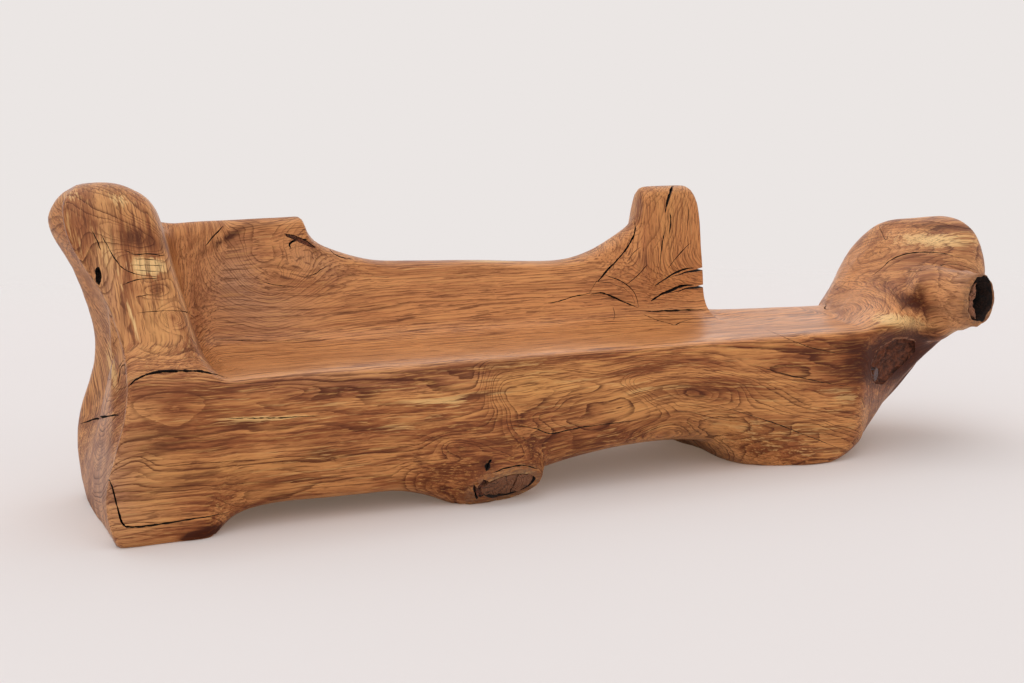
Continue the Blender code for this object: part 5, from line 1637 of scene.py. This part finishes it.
def build_knot(colours):
    """Dead wood in the sawn branch: two halves parted by a split, and bark beside them."""
    place = knot_place()
    wide, high, pocket_across, pocket_up, pocket_wide, pocket_high = knot_sizes()
    material = dead_wood_material("dead_knot", colours, "knot_wood")
    low = level_at(CLEARANCE - KNOT_PLUG_DEPTH)
    face = lumpy(0.002 - KNOT_RECESS, 0.0035, 45, 45, 0, 4, 73)

    def top(across, upward):
        waver = 3 * noise_at(across * 22.5, upward * 22.5, 0, 2, 71)
        return face(across, upward) + 0.0007 * np.sin(np.hypot(across, upward * 1.4) * 520 + waver)

    split = wide * KNOT_SPLIT_SHARE
    for name, level, side in (("dead_knot_large_half", split - KNOT_SPLIT / 2, 1),
                              ("dead_knot_small_half", split + KNOT_SPLIT / 2, -1)):
        mesh = plug(name, place, oval_edge(wide * 0.95, high * 0.90, 0.05, 120), low, top, 40)
        piece = new_object("dressed_" + name[5:], mesh, material)
        boolean(piece, new_object("away", wavy_side(place, level, side), material), "DIFFERENCE")
        shaded(piece.data, DEAD_WOOD_SHARP)
        polar_values(piece.data, place)
        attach(piece, "root")
        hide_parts(name)
    pocket = moved(place, pocket_across, pocket_up)
    bark_top = lumpy(skin_heights(skin_tree(blank_mesh()), pocket, 0.06), 0.006, 110, 110, 4, 4, 81)
    bark = bark_material("pocket_bark", colours)
    piece = new_object("dressed_knot_bark", plug("pocket", pocket, oval_edge(
        pocket_wide, pocket_high, 0.12), low, bark_top), bark)
    socket = pit_tool("socket", place, wide, high, -KNOT_PLUG_DEPTH - 0.01, 0.05)
    boolean(piece, new_object("socket", socket, bark), "DIFFERENCE")
    shaded(piece.data, POCKET_SHARP)
    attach(piece, "root")
    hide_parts("knot_bark")


def build_bark(colours):
    """Bark that lines the recess under the lobe, and the seam of bark in the back's notch."""
    tree = skin_tree(blank_mesh())
    material = bark_material("rough_bark", colours)
    recess = skin_place(RECESS_AT_SHARES, RECESS_TURN)
    recess_skin = skin_heights(tree, recess, 0.18)

    def spread(across, upward):
        return np.clip((across / RECESS_HALF_LENGTH)**2 + (upward / RECESS_HALF_HEIGHT)**2, 0, 1)

    def recess_top(across, upward):
        lumps = noise_at(across * 40, upward * 55, 0, 5, 91)
        share = spread(across, upward)
        floor = -(RECESS_DEPTH - BARK_THICKNESS) * np.sqrt(1 - share)
        return np.minimum(floor + 0.009 * lumps * (1 - share * 0.6),
                          recess_skin(across, upward) - 0.002 + 0.002 * lumps)

    def recess_low(across, upward):
        return -RECESS_DEPTH * np.sqrt(1 - spread(across, upward)) - 0.001

    edge = oval_edge(RECESS_HALF_LENGTH * 0.985, RECESS_HALF_HEIGHT * 0.985, 0.06, 200)
    mesh = plug("recess", recess, edge, recess_low, recess_top, 60, 2)
    piece = new_object("dressed_recess_bark", mesh, material)
    shaded(mesh, BARK_SHARP)
    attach(piece, "root")
    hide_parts("recess_bark")
    notch = skin_place(NOTCH_AT_SHARES, NOTCH_TURN)
    notch_top = lumpy(skin_heights(tree, notch, 0.06), 0.004, 90, 140, 8, 4, 95)
    edge = oval_edge(NOTCH_HALF_LENGTH * 0.97, NOTCH_HALF_HEIGHT * 0.57, 0.12)
    mesh = plug("notch", notch, edge, level_at(-NOTCH_DEPTH), notch_top)
    piece = new_object("dressed_notch_bark", mesh, material)
    shaded(mesh, BARK_SHARP)
    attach(piece, "root")
    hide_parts("notch_bark")


def build_small_knot(colours):
    """Round grey knot at the lower end of the bark recess, domed and ringed."""
    place = skin_place(SMALL_KNOT_AT_SHARES)

    def top(across, upward):
        share = np.clip(np.hypot(across, upward) / SMALL_KNOT_RADIUS, 0, 1)
        lumps = noise_at(across * 120, upward * 120, 0, 3, 97)
        return SMALL_KNOT_PROUD - 0.004 * share**3 + 0.0012 * lumps

    radius = SMALL_KNOT_RADIUS * 0.96
    edge = oval_edge(radius, radius, 0.05)
    mesh = plug("small_knot", place, edge, level_at(-SMALL_KNOT_DEPTH), top)
    material = dead_wood_material("grey_knot_wood", colours, "small_knot")
    piece = new_object("dressed_small_knot", mesh, material)
    shaded(mesh, BARK_SHARP)
    polar_values(mesh, place)
    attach(piece, "root")
    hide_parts("recess_knot")


# ---------------------------------------------------------------- floor, light and camera

# Half width of the floor, the distances between which it fades, and the warm tint of its painted glow
FLOOR_REACH = 60.0
FLOOR_FADE = (3.2, 7.5)
PAINTED_BOUNCE_TINT = (1.0, 0.70, 0.48, 1.0)


def mixed_shader(tree, share, first, second):
    """Output of a shader that mixes two others by the share that a socket gives."""
    node = tree.nodes.new("ShaderNodeMixShader")
    for socket, source in zip(node.inputs, (share, first, second)):
        tree.links.new(source, socket)
    return node.outputs[0]


def build_floor(stage):
    """Matt floor that fades into the backdrop far out, with a warm painted glow lifting its shadows.
    """
    corners = FLOOR_REACH * np.array([(-1, -1, 0), (1, -1, 0), (1, 1, 0), (-1, 1, 0)], float)
    mesh = mesh_from("studio_floor", corners - TRUNK_SHIFT, np.array([[0, 1, 2, 3]]))
    tree = Tree("studio_floor")
    place = tree.place()
    x, y, _ = tree.parts(place)
    mottle = tree.noise(place, 1.3, 4.0, 0.6)
    shade = tuple(0.97 * value for value in stage.floor_colour[:3]) + (1.0,)
    tree.finish(tree.mix(mottle * 0.5, tuple(stage.floor_colour), shade), 0.8)
    tree.shader.inputs["Specular IOR Level"].default_value = 0.1
    clear = tree.nodes.new("ShaderNodeBsdfTransparent")
    # Painted glow, seen only by the camera, that lightens the floor's shadows and warms them
    painted_glow = tree.nodes.new("ShaderNodeEmission")
    tree.feed(painted_glow.inputs["Color"], tuple(a * b for a, b in zip(stage.floor_colour, PAINTED_BOUNCE_TINT)))
    seen = (tree.add("LightPath", {}) * stage.bounce).socket
    far = tree.step((x * x + y * y)**0.5, *FLOOR_FADE).socket
    near_shader = mixed_shader(tree, seen, tree.shader.outputs[0], painted_glow.outputs[0])
    tree.links.new(mixed_shader(tree, far, near_shader, clear.outputs[0]),
                   tree.nodes["Material Output"].inputs["Surface"])
    new_object("studio_floor", mesh, tree.material)


def build_room(stage):
    """Even light from all round, which the camera sees in the backdrop's own colour."""
    world = bpy.data.worlds.new("studio")
    bpy.context.scene.world = world
    world.use_nodes = True
    nodes, links = world.node_tree.nodes, world.node_tree.links
    light = nodes["Background"]
    light.inputs["Color"].default_value = (*stage.sky_colour[:3], 1.0)
    light.inputs["Strength"].default_value = stage.sky_strength
    backdrop = nodes.new("ShaderNodeBackground")
    backdrop.inputs["Color"].default_value = (*stage.backdrop_colour[:3], 1.0)
    path = nodes.new("ShaderNodeLightPath")
    direct = path.outputs["Is Camera Ray"]
    for kind in ("Is Glossy Ray", "Is Transmission Ray"):
        either = nodes.new("ShaderNodeMath")
        either.operation = "MAXIMUM"
        links.new(direct, either.inputs[0])
        links.new(path.outputs[kind], either.inputs[1])
        direct = either.outputs[0]
    links.new(mixed_shader(world.node_tree, direct, light.outputs[0], backdrop.outputs[0]),
              nodes["World Output"].inputs["Surface"])


def build_stage(stage):
    """Pale floor that fades into the backdrop, soft light from above, and the camera."""
    build_floor(stage)
    build_room(stage)
    scene = bpy.context.scene
    for name, strength, spread, aim in (("overhead", stage.lamp_strength, 60, stage.lamp_aim),
                                        ("front", stage.fill_strength, 110, (0.45, 1.0, -0.4)),
                                        ("rear", stage.fill_strength, 110, (-0.1, -1.0, -0.3))):
        lamp = bpy.data.lights.new(name, "SUN")
        lamp.energy = strength
        lamp.angle = math.radians(spread)
        lamp.color = stage.lamp_colour[:3]
        lamp_object = bpy.data.objects.new(name, lamp)
        scene.collection.objects.link(lamp_object)
        lamp_object.rotation_euler = Vector(aim).to_track_quat("-Z", "Y").to_euler()
    right, up, forward = view_axes()
    axes = Matrix((right, up, -forward)).transposed().to_4x4()
    axes.translation = Vector(EYE + TRUNK_SHIFT)
    lens = bpy.data.cameras.new("camera")
    lens.sensor_width = SENSOR_WIDTH
    lens.lens = FOCAL_PIXELS * SENSOR_WIDTH / FRAME_WIDTH
    camera = bpy.data.objects.new("camera", lens)
    camera.matrix_world = axes
    scene.collection.objects.link(camera)
    scene.camera = camera
    scene.view_settings.view_transform = "Standard"


# ---------------------------------------------------------------- the add-on

def colour_choice(name, description, *screen):
    """Colour property whose default is given as a screen colour."""
    return bpy.props.FloatVectorProperty(name=name, description=description, subtype="COLOR", size=4,
                                         min=0.0, max=1.0, default=linear(*screen))


def amount_choice(name, description, default, least, most, subtype="NONE"):
    """Property of one number between two others."""
    return bpy.props.FloatProperty(name=name, description=description, default=default, min=least,
                                   max=most, subtype=subtype)


class BenchColours(bpy.types.PropertyGroup):
    """Colours of the wood, the bark and the cracks."""
    tan: colour_choice("Light bands", "Early wood between the rings", 206, 142, 88)
    brown: colour_choice("Dark bands", "Late wood of the rings", 162, 97, 57)
    orange: colour_choice("Calm wood", "Even wood of the seat and the back", 224, 151, 93)
    golden: colour_choice("Golden wood", "Yellow wood near the sapwood", 218, 158, 95)
    grey: colour_choice("Greyed wood", "Weathered and bleached wood", 188, 145, 116)
    umber: colour_choice("Umber streaks", "Dark streaks along the grain", 112, 58, 26)
    # also the colour of the painted highlights on the back's top edge and the arm's ridge
    sap: colour_choice("Sapwood", "Pale sapwood streaks", 236, 192, 132)
    # also the colour of the painted shadow at the left foot's base and the painted shade by the
    # recess
    dark: colour_choice("Dark wood", "Almost black stain by the knots", 70, 30, 14)
    line: colour_choice("Ring lines", "Thin dark lines of the rings", 80, 34, 12)
    rind: colour_choice("Dry rind", "Dry grey crumbs at sawn ends", 132, 96, 72)
    # near-black crack colours: partly the cracks' dark wood, partly painted shade in cracks and
    # hollows
    crack: colour_choice("Crack", "Inside of the cracks", 20, 12, 8)
    crack_brown: colour_choice("Crack mouth", "Browner patches inside the cracks", 56, 32, 20)
    bark: colour_choice("Bark", "Bark plates", 70, 40, 28)
    bark_red: colour_choice("Inner bark", "Reddish inner bark", 138, 76, 48)
    heart: colour_choice("Dead heart", "Heartwood left in the hollow branch", 158, 104, 74)
    knot_wood: colour_choice("Dead knot", "Sawn face of the dead branch", 142, 94, 64)
    small_knot: colour_choice("Grey knot", "Small round knot", 110, 104, 108)


class BenchSizes(bpy.types.PropertyGroup):
    """Sizes that a user may change."""
    crack_width: amount_choice("Crack width", "Width of every crack, as a share of the usual one",
                               1.0, 0.2, 2.0, "FACTOR")
    crack_depth: amount_choice("Crack depth", "Depth of every crack, as a share of the usual one",
                               1.0, 0.2, 2.0, "FACTOR")


class BenchStage(bpy.types.PropertyGroup):
    """Floor, backdrop and light."""
    floor_colour: colour_choice("Floor", "Colour of the floor", 234, 233, 236)
    backdrop_colour: colour_choice("Backdrop", "Colour behind the bench", 235, 230, 228)
    sky_colour: colour_choice("Room light", "Colour of the light from all round", 255, 254, 253)
    lamp_colour: colour_choice("Lamp", "Colour of the lamp overhead", 255, 253, 252)
    sky_strength: amount_choice("Room light", "Strength of the light from all round", 0.45, 0.0, 4.0)
    lamp_strength: amount_choice("Lamp", "Strength of the lamp overhead", 0.9, 0.0, 10.0)
    fill_strength: amount_choice("Side lamps", "Strength of the low lamps in front and behind",
                                 1.05, 0.0, 10.0)
    # share of the floor's painted glow, which lightens its shadows for the camera
    bounce: amount_choice("Floor bounce", "Share of the floor that the camera sees free of shadow",
                          0.15, 0.0, 1.0, "FACTOR")
    lamp_aim: bpy.props.FloatVectorProperty(
        name="Lamp aim", description="Direction in which the lamp shines", default=(0.1, -0.1, -1.0),
        subtype="DIRECTION")


def colours_of(scene):
    """The colours as tuples by name."""
    group = scene.bench_colours
    return {name: tuple(getattr(group, name)) for name in BenchColours.__annotations__}


class BENCH_OT_trunk(bpy.types.Operator):
    """Build the trunk with its branches, cracks and figure"""
    bl_idname = "bench.trunk"
    bl_label = "Trunk"

    def execute(self, context):
        build_trunk(context.scene.bench_sizes, colours_of(context.scene))
        return {"FINISHED"}


class BENCH_OT_patch(bpy.types.Operator):
    """Build the split piece at the foot of the post"""
    bl_idname = "bench.patch"
    bl_label = "Split patch"

    def execute(self, context):
        build_patch(context.scene.bench_sizes, colours_of(context.scene))
        return {"FINISHED"}


class BENCH_OT_heart(bpy.types.Operator):
    """Build the dead heart inside the hollow branch"""
    bl_idname = "bench.heart"
    bl_label = "Heart of the branch"

    def execute(self, context):
        build_heart(colours_of(context.scene))
        return {"FINISHED"}


class BENCH_OT_knot(bpy.types.Operator):
    """Build the dead knot and its bark pocket"""
    bl_idname = "bench.knot"
    bl_label = "Dead knot"

    def execute(self, context):
        build_knot(colours_of(context.scene))
        return {"FINISHED"}


class BENCH_OT_bark(bpy.types.Operator):
    """Build the bark of the recess and of the notch"""
    bl_idname = "bench.bark"
    bl_label = "Bark"

    def execute(self, context):
        build_bark(colours_of(context.scene))
        return {"FINISHED"}


class BENCH_OT_small_knot(bpy.types.Operator):
    """Build the small grey knot"""
    bl_idname = "bench.small_knot"
    bl_label = "Small knot"

    def execute(self, context):
        build_small_knot(colours_of(context.scene))
        return {"FINISHED"}


class BENCH_OT_stage(bpy.types.Operator):
    """Build the floor, the light and the camera"""
    bl_idname = "bench.stage"
    bl_label = "Stage"

    def execute(self, context):
        build_stage(context.scene.bench_stage)
        return {"FINISHED"}


OPERATORS = (BENCH_OT_stage, BENCH_OT_trunk, BENCH_OT_patch, BENCH_OT_heart, BENCH_OT_knot,
             BENCH_OT_bark, BENCH_OT_small_knot)


class BENCH_PT_panel(bpy.types.Panel):
    """Sizes, colours and pieces of the bench"""
    bl_idname = "BENCH_PT_panel"
    bl_label = "Bench"
    bl_space_type = "VIEW_3D"
    bl_region_type = "UI"
    bl_category = "Bench"

    def draw(self, context):
        for group, owner in ((context.scene.bench_sizes, BenchSizes),
                             (context.scene.bench_colours, BenchColours),
                             (context.scene.bench_stage, BenchStage)):
            column = self.layout.column()
            for name in owner.__annotations__:
                column.prop(group, name)
        for operator in OPERATORS:
            self.layout.operator(operator.bl_idname)


CLASSES = (BenchColours, BenchSizes, BenchStage, *OPERATORS, BENCH_PT_panel)


def register():
    for item in CLASSES:
        bpy.utils.register_class(item)
    bpy.types.Scene.bench_colours = bpy.props.PointerProperty(type=BenchColours)
    bpy.types.Scene.bench_sizes = bpy.props.PointerProperty(type=BenchSizes)
    bpy.types.Scene.bench_stage = bpy.props.PointerProperty(type=BenchStage)


def unregister():
    del bpy.types.Scene.bench_stage
    del bpy.types.Scene.bench_sizes
    del bpy.types.Scene.bench_colours
    for item in reversed(CLASSES):
        bpy.utils.unregister_class(item)


def main():
    register()
    bpy.ops.bench.stage()
    bpy.ops.bench.trunk()
    bpy.ops.bench.patch()
    bpy.ops.bench.heart()
    bpy.ops.bench.knot()
    bpy.ops.bench.bark()
    bpy.ops.bench.small_knot()


if __name__ == "__main__":
    main()
